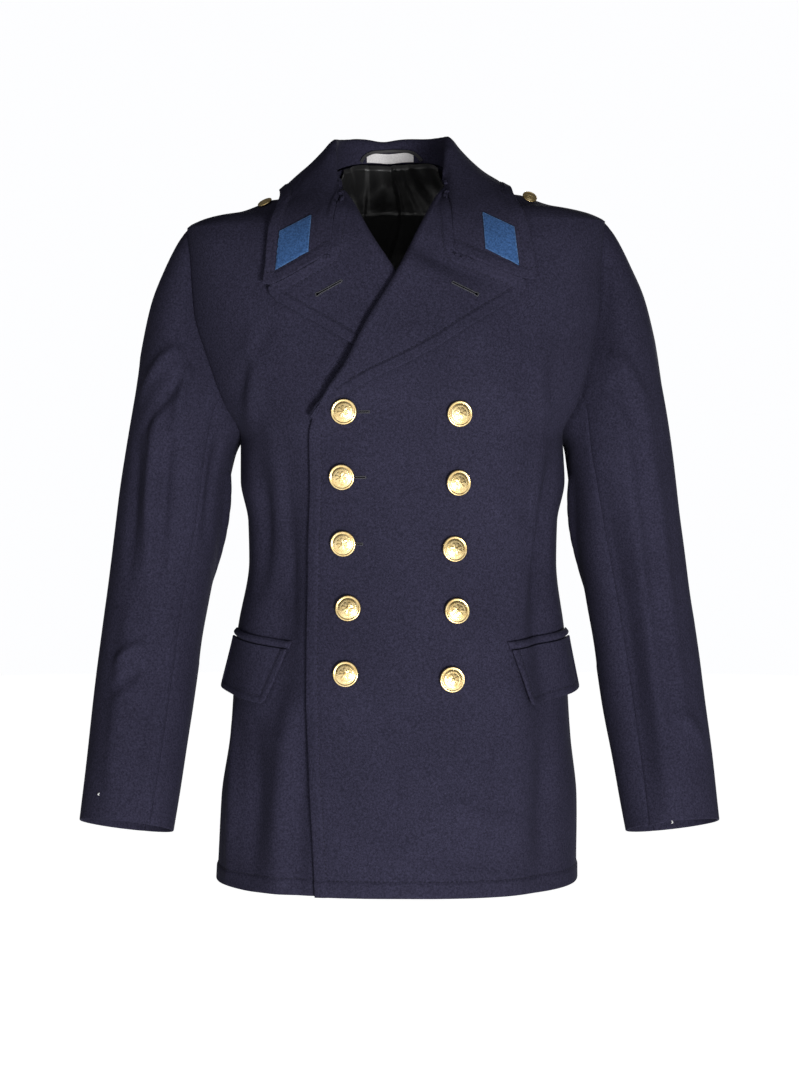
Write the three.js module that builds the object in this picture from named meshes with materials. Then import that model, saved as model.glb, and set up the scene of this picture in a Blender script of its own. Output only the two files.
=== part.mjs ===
// A double-breasted wool uniform coat, hip length, filled out as if worn but with no wearer in it.
// Units are millimetres. +X is the coat's own left, -Y its front, +Z up. The origin is the middle of
// the neck, at the height where the shoulder seams reach the collar.
// Sideways places on the fronts are measured from the coat's middle line, which sways a little.
import * as THREE from "three";

const CLOTH = 2.4; // one layer of melton wool
const TWO_PLY = 3.2; // cloth and facing: lapels, collar, pocket flaps
const FELT = 1.2; // collar patches
const SATIN = 1.0; // lining, label and hanger loop
const SEAM_GAP = 0.3; // between two pieces along a seam
const LAYER_GAP = 1.4; // between a piece and the faceted panel it lies on

const HEM = -745;
const HEM_FRONT = -733;
const HEM_SIDE = -743;
const ARMPIT = -275;
const SHOULDER_TIP = -51;
const NECK_POINT = 2;
const NECK_RISE = 16.5; // how far the back neckline climbs above the neck points
const GORGE = { angle: 52, z: -17 }; // where the neck seam starts, behind the top of the lapel
const GORGE_SETBACK = 8; // how far the fronts are cut back there from the roll line
const NECK_FRONT_ANGLE = 78; // where the neckline reaches the height of the neck point
const LEAN = 0.018; // the coat's left shoulder sits this much higher, per millimetre across

const BUTTON_RADIUS = 13;
const SHOULDER_BUTTON_RADIUS = 7.8;

const table = (columns, rows) =>
  rows.map((row) => Object.fromEntries(columns.map((name, i) => [name, row[i]])));

// Level sections of the body: half width, depth in front of and behind the middle, squareness of the
// section, and how far its middle sways to the coat's left.
const BODY = table(
  ["z", "half", "front", "back", "square", "shift"],
  [
    [-745, 190, 134, 128, 2.3, 0],
    [-648, 187, 132, 126, 2.3, 2],
    [-585, 179, 130, 122, 2.3, 3],
    [-475, 171, 124, 110, 2.4, 4],
    [-400, 160, 119, 103, 2.4, 6],
    [-360, 161, 121, 105, 2.4, 6],
    [-317, 169, 126, 112, 2.4, 6],
    [-275, 168, 130, 118, 2.4, 5],
    [-235, 193, 130, 121, 2.4, 4],
    [-200, 206, 127, 124, 2.4, 3],
    [-135, 219, 117, 124.5, 2.4, 0.5],
    [-75, 220, 102, 119, 2.4, 0],
    [-52, 218, 89, 113, 2.35, 0],
    [-44, 204, 82, 110.5, 2.3, 0],
    [-40, 189, 77, 109, 2.3, 0],
    [-36, 164, 72, 107.5, 2.3, 0],
    [-30, 147, 65, 105.5, 2.3, 0],
    [-24, 134, 58, 102.5, 2.3, -0.5],
    [-21, 115, 55, 100.5, 2.3, -1],
    [-16, 98, 51, 98, 2.25, -2],
    [-8, 82, 46, 93.5, 2.2, -4],
    [2, 68, 40, 88, 2.2, -6],
    [20, 62, 34, 79, 2.2, -6],
  ],
);

// The free edge of the fronts below the break at z = -252, and the roll line above it: how far it
// reaches past the middle line, negative where a front laps over.
const FRONT_EDGE = table(
  ["z", "x"],
  [
    [-745, -82],
    [-695, -85],
    [-615, -90],
    [-535, -93.5],
    [-394, -94.6],
    [-334, -92.5],
    [-274, -91],
    [-252, -87],
    [-236, -78.5],
    [-201, -53.5],
    [-158, -30],
    [-110, 0.5],
    [-76, 20],
    [-42, 38.2],
    [-17, 50.8],
  ],
);

// The lapel, by rows from its point at the break up to the gorge seam: the height where the row
// leaves the roll line, and the place where it meets the lapel's outer edge.
const LAPEL = table(
  ["rollZ", "edgeX", "edgeZ"],
  [
    [-229, -66, -226],
    [-217, -50, -217.5],
    [-200, -26, -204.5],
    [-180, 4, -190],
    [-159, 36, -175],
    [-138, 80, -152.5],
    [-117, 125, -130],
    [-104, 127.5, -122],
    [-84, 95, -105.3],
    [-64, 61, -88.5],
    [-46, 56.3, -66],
    [-30, 53.3, -47],
    [-20, 50.6, -34.5],
  ],
);
const HIDDEN_LAPEL_START = 3; // the under lapel is built from this row up, below that it is covered

// Sleeve rings from armhole to cuff: the outer and inner (underarm) guides, the front and back
// guides, and how far the front stands above the middle of the ring.
const SLEEVE = table(
  ["ring", "outX", "outZ", "inX", "inZ", "front", "back", "pitch"],
  [
    [0, 218, -51, 169, -275, -54, 60, 0],
    [1, 229, -68, 172.5, -282, -61, 64, 0],
    [2, 243, -95, 174.5, -290, -68, 69, 0],
    [3, 257, -128, 176, -302, -74, 73, 0],
    [4, 267.5, -170, 178.5, -319, -77, 75, 0],
    [5, 275.5, -215, 181.5, -343, -78, 74, 1],
    [6, 283.5, -264, 185.5, -374, -77, 70, 2],
    [7, 290.5, -315, 191.5, -409, -75, 64, 4],
    [8, 296.5, -367, 198, -445, -74, 57, 6],
    [9, 302.5, -418, 204, -480, -75, 47, 8],
    [10, 308.5, -468, 208.5, -516, -80, 35, 10],
    [11, 314, -518, 213.5, -553, -88, 21, 11],
    [12, 319, -568, 219.5, -592, -97, 6, 12],
    [13, 323.5, -617, 226, -633, -106, -9, 12],
    [14, 328, -665, 233, -675.5, -114, -24, 12],
  ],
);
const SLEEVE_RINGS = 14;
const SLEEVE_BLEND = 4.5; // rings over which the armhole's outline turns into the sleeve's
const SLEEVE_SHIFT = 2;
const SLEEVE_STEP = 18; // degrees between the columns round the sleeve
const FRONT_SEAM = 126; // degrees round the sleeve from its outer line, by way of the front
const BACK_SEAM = 252;

// The collar from its front end (share 0) to the centre back (share 1), for one half: the angles
// round the neck, in degrees from the front, of the neck seam, the crest of the roll and the outer
// edge, with the heights and radii of the crest and of the outer edge where nothing carries it.
const COLLAR = table(
  ["share", "neckAngle", "crestAngle", "crestZ", "crestR", "edgeAngle", "edgeZ", "edgeR"],
  [
    [0, 51.5, 47.2, -16.5, 74, 52.7, -114.5, 173],
    [0.06, 58.5, 54, -5, 67, 52.6, -97, 169],
    [0.12, 65, 61, 9, 63, 53.5, -78, 164],
    [0.2, 73.5, 71, 24, 60.5, 56.5, -53, 153],
    [0.27, 80.5, 79, 32, 59, 62, -36, 134],
    [0.35, 87.5, 87, 38, 58.5, 74, -21, 122],
    [0.45, 98, 98, 41, 59.5, 90, -13.5, 119.5],
    [0.6, 118, 118, 43, 63.5, 115, -16, 117],
    [0.78, 147, 147, 45, 71.5, 146, -21, 114],
    [1, 180, 180, 46, 76, 180, -24, 110],
  ],
);
// The collar's front end, from the crest down the gorge seam to the notch (reach 0.5), then along
// the free edge to the corner.
const COLLAR_END = table(
  ["reach", "angle", "z"],
  [
    [0, 47.2, -16.5],
    [0.12, 36.6, -33],
    [0.25, 31.8, -50],
    [0.4, 29.4, -70],
    [0.5, 29.2, -84],
    [0.75, 40.3, -100.5],
    [0.93, 50, -115.5],
    [1, 52.7, -114.5],
  ],
);
const COLLAR_END_FADE = 0.27;
const COLLAR_SWAY = { gorge: -2, corner: 1.2 }; // degrees that the front ends lie to the coat's left
const COLLAR_EASE = 3.8; // how much further the collar stands off the body than the lapel
const LEVEL_SHARE = 0.75; // where the body faces outward by less than this, the collar is lifted too
const CREST_DROP = 5; // from the crest of the roll to its two flanks
const CREST_SPREAD = 4;
const FALL_HOLLOW = 5; // how far the middle of the fall sinks in from a straight line

// Pocket flaps: angles round the body of the front edge, top and bottom, which differ a little from
// side to side because the front laps over.
const FLAP_FRONT = { left: { top: 46, bottom: 52.5 }, right: { top: 50, bottom: 57.5 } };
const FLAP_REAR = { top: 81, bottom: 85 };
const FLAP_TOP = { front: -486, rear: -478 };
const FLAP_BOTTOM = { front: -543, rear: -533 };
const FLAP_GAP = 0.8; // between the front and what lies on it at the pocket
const WELT_HEIGHT = 9;

// Front buttons, from the top row down: sideways place of the two columns and height.
const BUTTON_ROWS = table(
  ["rightX", "rightZ", "leftX", "leftZ"],
  [
    [-55.2, -244, 56.1, -247],
    [-58.7, -309, 53.1, -315.5],
    [-57.7, -376.5, 49.6, -382.5],
    [-52.1, -443, 53.3, -445.5],
    [-53.3, -508, 49.7, -513.5],
  ],
);
// Button turned about its axis: radius and height above the seat of its shank, for a radius of 1.
const BUTTON_PROFILE = table(
  ["radius", "height"],
  [
    [0, 0],
    [0.22, 0],
    [0.22, 0.12],
    [0.9, 0.16],
    [1, 0.25],
    [0.98, 0.34],
    [0.86, 0.37],
    [0.6, 0.46],
    [0.3, 0.53],
    [0, 0.55],
  ],
);
const BUTTON_SIDES = 20;

const PATCH_CORNERS = table(
  ["x", "z"],
  [
    [83.5, -46.5],
    [118, -62],
    [122, -101.5],
    [86.5, -84.5],
  ],
);
const LABEL = { left: -33, right: 18, bottom: 21.5, top: 29 };
const LOOP_PATH = table(
  ["x", "z"],
  [
    [-35, 23.5],
    [-31, 27.5],
    [-24, 31.5],
    [-6, 33.5],
    [12, 32.5],
    [20, 29.5],
    [25, 24.5],
  ],
);
const LOOP_WIDTH = 3.6;

const COLOURS = {
  wool: 0x2c2b3a,
  blue: 0x3a5480,
  gold: 0xc9a85a,
  satin: 0x0c0c0e,
  white: 0xe6e2e0,
};

const degrees = (value) => (value * Math.PI) / 180;
const mix = (a, b, share) => a + (b - a) * share;
const smooth = (share) => {
  const t = Math.min(Math.max(share, 0), 1);
  return t * t * (3 - 2 * t);
};

// A smooth curve through one column of a table that never overshoots its rows.
function through(rows, key, column) {
  const x = rows.map((row) => row[key]);
  const y = rows.map((row) => row[column]);
  const step = x.slice(1).map((value, i) => value - x[i]);
  const slope = step.map((h, i) => (y[i + 1] - y[i]) / h);
  const tangent = y.map((_, i) => {
    if (i === 0) return slope[0];
    if (i === slope.length) return slope[i - 1];
    if (slope[i - 1] * slope[i] <= 0) return 0;
    const before = 2 * step[i] + step[i - 1];
    const after = step[i] + 2 * step[i - 1];
    return (before + after) / (before / slope[i - 1] + after / slope[i]);
  });
  return (value) => {
    const at = Math.min(Math.max(value, x[0]), x[x.length - 1]);
    let i = 0;
    while (i < step.length - 1 && at > x[i + 1]) i += 1;
    const t = (at - x[i]) / step[i];
    return (
      (2 * t ** 3 - 3 * t ** 2 + 1) * y[i] +
      (t ** 3 - 2 * t ** 2 + t) * step[i] * tangent[i] +
      (-2 * t ** 3 + 3 * t ** 2) * y[i + 1] +
      (t ** 3 - t ** 2) * step[i] * tangent[i + 1]
    );
  };
}

const curves = (rows, key) =>
  Object.fromEntries(
    Object.keys(rows[0])
      .filter((name) => name !== key)
      .map((name) => [name, through(rows, key, name)]),
  );

const body = curves(BODY, "z");
const sleeve = curves(SLEEVE, "ring");
const collar = curves(COLLAR, "share");
const collarEnd = curves(COLLAR_END, "reach");
const frontEdge = through(FRONT_EDGE, "z", "x");

// ---- The body's form -------------------------------------------------------------------------

// Radius of the body section at an angle in degrees: 0 in front, 90 on the coat's left, 180 behind.
function bodyRadius(angle, z) {
  const turn = degrees(angle);
  const depth = Math.cos(turn) > 0 ? body.front(z) : body.back(z);
  const n = body.square(z);
  const across = Math.abs(Math.sin(turn)) / body.half(z);
  const along = Math.abs(Math.cos(turn)) / depth;
  return (across ** n + along ** n) ** (-1 / n);
}

function around(angle, z, radius) {
  const turn = degrees(angle);
  return new THREE.Vector3(
    body.shift(z) + radius * Math.sin(turn),
    -radius * Math.cos(turn),
    z,
  );
}

const onBody = (angle, z) => around(angle, z, bodyRadius(angle, z));

function bodyNormal(angle, z) {
  const across = onBody(angle + 1, z).sub(onBody(angle - 1, z));
  const up = onBody(angle, z + 1).sub(onBody(angle, z - 1));
  return across.cross(up).normalize();
}

const offBody = (angle, z, out) => onBody(angle, z).addScaledVector(bodyNormal(angle, z), out);

// How far the opening's middle line is drawn to the coat's right of the form's, below the collar.
const openingSway = (z) => -3.5 * smooth((z + 105) / 45) * (1 - smooth((z + 30) / 14));

// The angle at which the front of the body lies at x, measured from the form's middle.
function frontAngle(x, z) {
  const n = body.square(z);
  const share = Math.min(Math.abs(x) / body.half(z), 0.9999);
  return (Math.atan2(x, body.front(z) * (1 - share ** n) ** (1 / n)) * 180) / Math.PI;
}

// The neckline round the collar: its height at an angle between the gorge and the centre back.
function neckHeight(angle) {
  const turn = Math.abs(angle);
  if (turn < NECK_FRONT_ANGLE) {
    return mix(GORGE.z, NECK_POINT, (turn - GORGE.angle) / (NECK_FRONT_ANGLE - GORGE.angle));
  }
  return NECK_POINT + NECK_RISE * smooth((turn - 90) / 70);
}

// Rows of the panels run level, except that the lowest follow the hem and the top ones the neckline.
function rowHeight(z, angle) {
  const forward = Math.cos(degrees(angle));
  const hem = forward > 0 ? mix(HEM_SIDE, HEM_FRONT, forward) : mix(HEM_SIDE, HEM, -forward);
  const hemShare = 1 - smooth((z - HEM) / 145);
  const neckShare = smooth((z + 31) / (31 + NECK_POINT));
  const rise = Math.abs(angle) > 90 ? neckHeight(angle) - NECK_POINT : 0;
  return z + (hem - HEM) * hemShare + rise * neckShare;
}

// ---- The armhole -----------------------------------------------------------------------------

// The armhole's outline: turn 0 at the shoulder tip, 90 in front, 180 in the armpit, 270 behind.
const armholeHeight = (turn) => mix(ARMPIT, SHOULDER_TIP, (1 + Math.cos(degrees(turn))) / 2);

function armholeDepth(turn) {
  const c = Math.cos(degrees(turn));
  const s = Math.sin(degrees(turn));
  const width = s > 0 ? 51 - 22 * c + 30 * c * c : 50 - 12 * c + 16 * c * c;
  return 3 - 3 * c - width * s;
}

function armholePoint(turn) {
  const z = armholeHeight(turn);
  const y = armholeDepth(turn);
  const n = body.square(z);
  const share = Math.abs(y) / (y < 0 ? body.front(z) : body.back(z));
  return new THREE.Vector3(body.half(z) * (1 - share ** n) ** (1 / n), y, z);
}

function armholeAngle(turn) {
  const point = armholePoint(turn);
  return (Math.atan2(point.x, -point.y) * 180) / Math.PI;
}

// ---- The sleeve's form -----------------------------------------------------------------------

function ringPoint(turn, ring) {
  const c = Math.cos(degrees(turn));
  const s = Math.sin(degrees(turn));
  const out = (1 + c) / 2;
  return new THREE.Vector3(
    mix(sleeve.inX(ring), sleeve.outX(ring), out),
    (sleeve.front(ring) * (1 + s) + sleeve.back(ring) * (1 - s)) / 2,
    mix(sleeve.inZ(ring), sleeve.outZ(ring), out) + sleeve.pitch(ring) * s,
  );
}

// A point of the sleeve; side is 1 on the coat's left and -1 on its right.
function sleevePoint(side, turn, ring) {
  const fit = 1 - smooth(ring / SLEEVE_BLEND);
  const point = ringPoint(turn, ring);
  point.addScaledVector(armholePoint(turn).sub(ringPoint(turn, 0)), fit);
  const shift = mix(SLEEVE_SHIFT, body.shift(armholeHeight(turn)), fit);
  return new THREE.Vector3(side * point.x + shift, point.y, point.z);
}

function sleeveNormal(side, turn, ring) {
  const around = sleevePoint(side, turn + 1, ring).sub(sleevePoint(side, turn - 1, ring));
  const along = sleevePoint(side, turn, ring + 0.1).sub(sleevePoint(side, turn, Math.max(ring - 0.1, 0)));
  return around.cross(along).multiplyScalar(side).normalize();
}

// Panel and sleeve share one direction along the armhole, so that their walls meet in a mitre. It is
// as long as the mitre is for a wall of 1.
function armholeMitre(side, turn) {
  const panel = bodyNormal(side * armholeAngle(turn), armholeHeight(turn));
  const cap = sleeveNormal(side, turn, 0);
  return panel.clone().add(cap).divideScalar(1 + Math.max(panel.dot(cap), -0.3));
}

// ---- The fronts and lapels -------------------------------------------------------------------

// How far the coat's left front stands off the body form where it laps over the right one.
function overlapLift(angle, z) {
  const x = bodyRadius(angle, z) * Math.sin(degrees(angle)) - openingSway(z);
  const underEdge = -frontEdge(z);
  const start = Math.min(underEdge + mix(100, 50, smooth((z + 130) / 40)), 150);
  const full = underEdge + 20;
  const share = Math.cos(degrees(angle)) > 0 ? smooth((start - x) / (start - full)) : 0;
  const overFront = (CLOTH + 2.1) * (1 - smooth((z + 103) / 40));
  const overLapel = (TWO_PLY + 3.6) * smooth((z + 262) / 60) * (1 - smooth((z + 110) / 45));
  return share * (overFront + overLapel);
}

// A point out from the left or right front, at x from the middle line towards that side.
function onFront(side, x, z, out) {
  const angle = frontAngle(side * x + openingSway(z), z);
  const lift = side > 0 ? overlapLift(angle, z) : 0;
  return offBody(angle, z, lift + out);
}

// ---- The collar's form -----------------------------------------------------------------------

// The collar at an angle and height, with the radius it would take in the air, moved to clear what it
// lies on: level where the body is steep, and away from the slope along the shoulders.
function offShoulders(angle, z, free) {
  const turn = degrees(angle);
  const normal = bodyNormal(angle, z);
  const outward = normal.x * Math.sin(turn) - normal.y * Math.cos(turn);
  const room = (LAYER_GAP + TWO_PLY + COLLAR_EASE) * (1 - smooth((z - NECK_POINT) / 10));
  const bed = bodyRadius(angle, z);
  const least = bed + room / Math.max(outward, LEVEL_SHARE);
  const radius = (free + least + Math.hypot(free - least, 3)) / 2;
  const lift = Math.max(0, room - (radius - bed) * outward);
  return around(angle, z, radius).addScaledVector(normal, lift);
}

// A point of the fall: share along the collar, reach 0 at the crest to 1 at the outer edge.
function fallPoint(side, share, reach) {
  const straight = (name, edge) => mix(collar[name](share), collar[edge](share), reach);
  const end = 1 - smooth(share / COLLAR_END_FADE);
  const endAngle = collarEnd.angle(reach) - mix(COLLAR[0].crestAngle, COLLAR[0].edgeAngle, reach);
  const endZ = collarEnd.z(reach) - mix(COLLAR[0].crestZ, COLLAR[0].edgeZ, reach);
  const angle = straight("crestAngle", "edgeAngle") + end * endAngle;
  const z = straight("crestZ", "edgeZ") + end * endZ;
  const sway = end * mix(COLLAR_SWAY.gorge, COLLAR_SWAY.corner, smooth(2 * reach - 1));
  const straightR = mix(collar.crestR(share) + CREST_SPREAD, collar.edgeR(share), reach);
  const hollow = FALL_HOLLOW * (1 - smooth(1 - share / COLLAR_END_FADE));
  const free = straightR - 4 * hollow * reach * (1 - reach);
  return offShoulders(side * angle + sway, z, free);
}

// The visible face of the collar at one share, from the neck seam over the crest to the outer edge.
function collarSection(side, share, reaches) {
  const end = 1 - smooth(share / COLLAR_END_FADE);
  const sway = COLLAR_SWAY.gorge * end;
  const neckAngle = side * collar.neckAngle(share);
  const neckZ = neckHeight(neckAngle) + mix(1.8, 7.5, end);
  const neck = around(neckAngle, neckZ, bodyRadius(neckAngle, neckZ) - CLOTH - 1.6);
  const crestAngle = side * collar.crestAngle(share) + sway;
  const crest = around(crestAngle, collar.crestZ(share), collar.crestR(share));
  const fallStart = fallPoint(side, share, reaches[0]);
  const out = fallStart.clone().sub(neck);
  const up = crest.clone().sub(neck).addScaledVector(fallStart.clone().sub(neck), 0.2).normalize();
  out.addScaledVector(up, -out.dot(up)).normalize();
  const inner = crest.clone().addScaledVector(out, -3.4);
  const height = inner.clone().sub(neck).dot(up);
  inner.addScaledVector(up, -Math.min(CREST_DROP, 0.5 * height));
  const outer = crest.clone().addScaledVector(out, 3.6).addScaledVector(up, -2.2);
  const middle = neck.clone().lerp(inner, 0.5);
  return [neck, middle, inner, crest, outer, ...reaches.map((reach) => fallPoint(side, share, reach))];
}

// ---- Meshes ----------------------------------------------------------------------------------

const material = (colour, roughness, metalness) =>
  new THREE.MeshStandardMaterial({ color: colour, roughness, metalness, side: THREE.DoubleSide });
const WOOL = material(COLOURS.wool, 0.95, 0);
const BLUE = material(COLOURS.blue, 0.95, 0);
const GOLD = material(COLOURS.gold, 0.3, 1);
const BLACK_SATIN = material(COLOURS.satin, 0.45, 0);
const WHITE = material(COLOURS.white, 0.7, 0);

const coat = new THREE.Group();

// One closed mesh from shared points and triangles, with its faces turned outwards.
function addMesh(name, points, triangles, surface) {
  let volume = 0;
  for (let i = 0; i < triangles.length; i += 3) {
    const [a, b, c] = [0, 1, 2].map((k) => points[triangles[i + k]]);
    volume += a.dot(b.clone().cross(c)) / 6;
  }
  if (volume < 0) triangles.reverse();
  const geometry = new THREE.BufferGeometry();
  geometry.setAttribute(
    "position",
    new THREE.Float32BufferAttribute(points.flatMap((point) => point.toArray()), 3),
  );
  geometry.setIndex(triangles);
  geometry.computeVertexNormals();
  const mesh = new THREE.Mesh(geometry, surface);
  mesh.name = name;
  coat.add(mesh);
  return mesh;
}

// Average normals of a grid of points, turned to the same side as the reference points lie.
function gridNormals(grid, facing) {
  const rows = grid.length;
  const columns = grid[0].length;
  return grid.map((line, i) =>
    line.map((point, j) => {
      const across = line[Math.min(j + 1, columns - 1)].clone().sub(line[Math.max(j - 1, 0)]);
      const along = grid[Math.min(i + 1, rows - 1)][j].clone().sub(grid[Math.max(i - 1, 0)][j]);
      return across.cross(along).multiplyScalar(facing).normalize();
    }),
  );
}

// Draws the edges of a grid in by half a seam gap, within its own surface.
function drawnIn(grid, normals) {
  const rows = grid.length;
  const columns = grid[0].length;
  return grid.map((line, i) =>
    line.map((point, j) => {
      const moved = point.clone();
      const pull = (neighbour, before, after) => {
        const inward = after.clone().sub(before).cross(normals[i][j]).normalize();
        const turned = Math.sign(inward.dot(neighbour.clone().sub(point)));
        moved.addScaledVector(inward, (turned * SEAM_GAP) / 2);
      };
      const above = grid[Math.min(i + 1, rows - 1)][j];
      const below = grid[Math.max(i - 1, 0)][j];
      const right = line[Math.min(j + 1, columns - 1)];
      const left = line[Math.max(j - 1, 0)];
      if (j === 0) pull(line[1], below, above);
      if (j === columns - 1) pull(line[columns - 2], below, above);
      if (i === 0) pull(grid[1][j], left, right);
      if (i === rows - 1) pull(grid[rows - 2][j], left, right);
      return moved;
    }),
  );
}

// A cloth wall: the grid is its outer face and the inner face lies one thickness behind it. facing is
// 1 or -1 for the side the grid's normals leave on; shared gives the directions along common seams.
// Each cell is split along its shorter diagonal.
function addCloth(name, grid, thickness, facing, surface, shared = () => null) {
  const normals = gridNormals(grid, facing).map((line, i) =>
    line.map((normal, j) => shared(i, j) || normal),
  );
  const outer = drawnIn(grid, normals);
  const inner = outer.map((line, i) =>
    line.map((point, j) => point.clone().addScaledVector(normals[i][j], -thickness)),
  );
  const rows = grid.length;
  const columns = grid[0].length;
  const points = [...outer.flat(), ...inner.flat()];
  const triangles = [];
  const outerAt = (i, j) => i * columns + j;
  const innerAt = (i, j) => rows * columns + outerAt(i, j);
  const split = (a, b, c, d) => triangles.push(a, b, c, a, c, d);
  const shortFirst = (a, b, c, d) =>
    points[b].distanceTo(points[d]) < points[a].distanceTo(points[c]) ? [b, c, d, a] : [a, b, c, d];
  const quad = (...corners) => split(...shortFirst(...corners));
  for (let i = 0; i < rows - 1; i += 1) {
    for (let j = 0; j < columns - 1; j += 1) {
      const corners = shortFirst(outerAt(i, j), outerAt(i, j + 1), outerAt(i + 1, j + 1), outerAt(i + 1, j));
      split(...corners);
      split(...corners.reverse().map((corner) => corner + rows * columns));
    }
    quad(outerAt(i + 1, 0), innerAt(i + 1, 0), innerAt(i, 0), outerAt(i, 0));
    const last = columns - 1;
    quad(outerAt(i, last), innerAt(i, last), innerAt(i + 1, last), outerAt(i + 1, last));
  }
  for (let j = 0; j < columns - 1; j += 1) {
    quad(outerAt(0, j), innerAt(0, j), innerAt(0, j + 1), outerAt(0, j + 1));
    const last = rows - 1;
    quad(outerAt(last, j + 1), innerAt(last, j + 1), innerAt(last, j), outerAt(last, j));
  }
  return addMesh(name, points, triangles, surface);
}

const raycaster = new THREE.Raycaster();

// Where a line from a point in a direction first meets one of the meshes, and the face's normal.
function firstHit(from, direction, meshes) {
  raycaster.set(from, direction.clone().normalize());
  const [hit] = raycaster.intersectObjects(meshes, false);
  if (!hit) return null;
  const normal = hit.face.normal.clone();
  if (normal.dot(direction) > 0) normal.negate();
  return { point: hit.point, normal };
}

// Values from one end to the other that cut the line place(value) into equal steps.
function evenly(from, to, count, place) {
  const fine = 60;
  const values = Array.from({ length: fine + 1 }, (_, i) => mix(from, to, i / fine));
  const points = values.map(place);
  const reached = [0];
  for (let i = 1; i <= fine; i += 1) reached.push(reached[i - 1] + points[i].distanceTo(points[i - 1]));
  return Array.from({ length: count + 1 }, (_, k) => {
    const goal = (reached[fine] * k) / count;
    let i = 1;
    while (i < fine && reached[i] < goal) i += 1;
    return mix(values[i - 1], values[i], (goal - reached[i - 1]) / (reached[i] - reached[i - 1]));
  });
}

// ---- Body panels -----------------------------------------------------------------------------

const SKIRT_ROWS = [HEM, -700, -650, -595, -535, -475, -420, -365, -318];
const ARMHOLE_TURNS = Array.from({ length: 11 }, (_, i) => 180 - i * SLEEVE_STEP);
const SHOULDER_ROWS = [-44, -38, -30, -21, -11, NECK_POINT];
const ROWS = [
  ...SKIRT_ROWS.map((z) => ({ z })),
  ...ARMHOLE_TURNS.map((turn) => ({ z: armholeHeight(turn), turn })),
  ...SHOULDER_ROWS.map((z) => ({ z })),
];

// The angle of the side seam, the armhole or the shoulder seam at one row.
function outerAngle(row, behind) {
  if (row.turn !== undefined) return armholeAngle(behind ? 360 - row.turn : row.turn);
  if (row.z > SHOULDER_TIP) return 90;
  return mix(97, armholeAngle(180), smooth((row.z + 400) / 120));
}

// The angle of the front edge, roll line or neckline at one row, towards the panel's own side.
function innerAngle(side, z) {
  const setback = GORGE_SETBACK * smooth((z + 42) / 25);
  if (z <= GORGE.z) return side * frontAngle(side * (frontEdge(z) + setback) + openingSway(z), z);
  return mix(GORGE.angle, NECK_FRONT_ANGLE, (z - GORGE.z) / (NECK_POINT - GORGE.z));
}

// The grid of a body panel between two angles, out from the body form by a lift.
function panelGrid(side, from, to, columns, lift) {
  return ROWS.map((row) => {
    const place = (angle) => {
      const z = rowHeight(row.z, side * angle);
      return offBody(side * angle, z, lift(side * angle, z));
    };
    return evenly(from(row), to(row), columns, place).map(place);
  });
}

// The direction that a panel shares with its neighbour along its seams: the armhole's, or the form's
// own at the side, shoulder and centre back.
function panelSeams(side, seamColumns, behind) {
  return (i, j) => {
    const row = ROWS[i];
    if (!(j in seamColumns)) return null;
    if (seamColumns[j] === "centre") return bodyNormal(180, rowHeight(row.z, 180));
    if (row.turn !== undefined) return armholeMitre(side, behind ? 360 - row.turn : row.turn);
    const angle = side * outerAngle(row, behind);
    return bodyNormal(angle, rowHeight(row.z, angle));
  };
}

const FRONT_COLUMNS = { left: 10, right: 8 };
const BACK_COLUMNS = 6;
const noLift = () => 0;

const fronts = {};
const backGrids = {};
for (const [name, side] of [["left", 1], ["right", -1]]) {
  const columns = FRONT_COLUMNS[name];
  const frontGrid = panelGrid(
    side,
    (row) => innerAngle(side, row.z),
    (row) => outerAngle(row, false),
    columns,
    side > 0 ? overlapLift : noLift,
  );
  const frontSeams = panelSeams(side, { [columns]: "side" }, false);
  fronts[name] = addCloth(`front_${name}`, frontGrid, CLOTH, side, WOOL, frontSeams);
  backGrids[name] = panelGrid(
    side,
    () => 180,
    (row) => outerAngle(row, true),
    BACK_COLUMNS,
    noLift,
  );
  const backSeams = panelSeams(side, { 0: "centre", [BACK_COLUMNS]: "side" }, true);
  addCloth(`back_${name}`, backGrids[name], CLOTH, -side, WOOL, backSeams);
}

// The back lining hangs just inside the back panels, from the neckline to a little above the hem,
// and reaches sideways almost to the armholes.
const LINING_COLUMNS = 4;
const liningGrid = backGrids.left.slice(1).map((line, i) => {
  const left = line.slice(0, LINING_COLUMNS + 1);
  const right = backGrids.right[i + 1].slice(1, LINING_COLUMNS + 1);
  return [...right.reverse(), ...left];
});
const liningNormals = gridNormals(liningGrid, 1);
const liningFace = liningGrid.map((line, i) =>
  line.map((point, j) => point.clone().addScaledVector(liningNormals[i][j], CLOTH + 1.3 + SATIN)),
);
addCloth("lining_back", liningFace, SATIN, 1, BLACK_SATIN);

// ---- Sleeves ---------------------------------------------------------------------------------

function sleeveGrid(side, fromTurn, toTurn) {
  const columns = (toTurn - fromTurn) / SLEEVE_STEP;
  return Array.from({ length: SLEEVE_RINGS + 1 }, (_, ring) =>
    Array.from({ length: columns + 1 }, (_, j) => sleevePoint(side, fromTurn + j * SLEEVE_STEP, ring)),
  );
}

for (const [name, side] of [["left", 1], ["right", -1]]) {
  const stretches = [
    ["sleeve_top", BACK_SEAM - 360, FRONT_SEAM],
    ["sleeve_under", FRONT_SEAM, BACK_SEAM],
  ];
  for (const [piece, from, to] of stretches) {
    const grid = sleeveGrid(side, from, to);
    const shared = (ring, j) => {
      const turn = from + j * SLEEVE_STEP;
      if (ring === 0) return armholeMitre(side, turn);
      return turn === from || turn === to ? sleeveNormal(side, turn, ring) : null;
    };
    addCloth(`${piece}_${name}`, grid, CLOTH, side, WOOL, shared);
  }
}

// ---- Lapels ----------------------------------------------------------------------------------

const LAPEL_COLUMNS = 5;
const LAPEL_GAP = { left: 3, right: 2.3 }; // the upper front is fuller over the chest than its facets
const BACKWARD = new THREE.Vector3(0, 1, 0);

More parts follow.
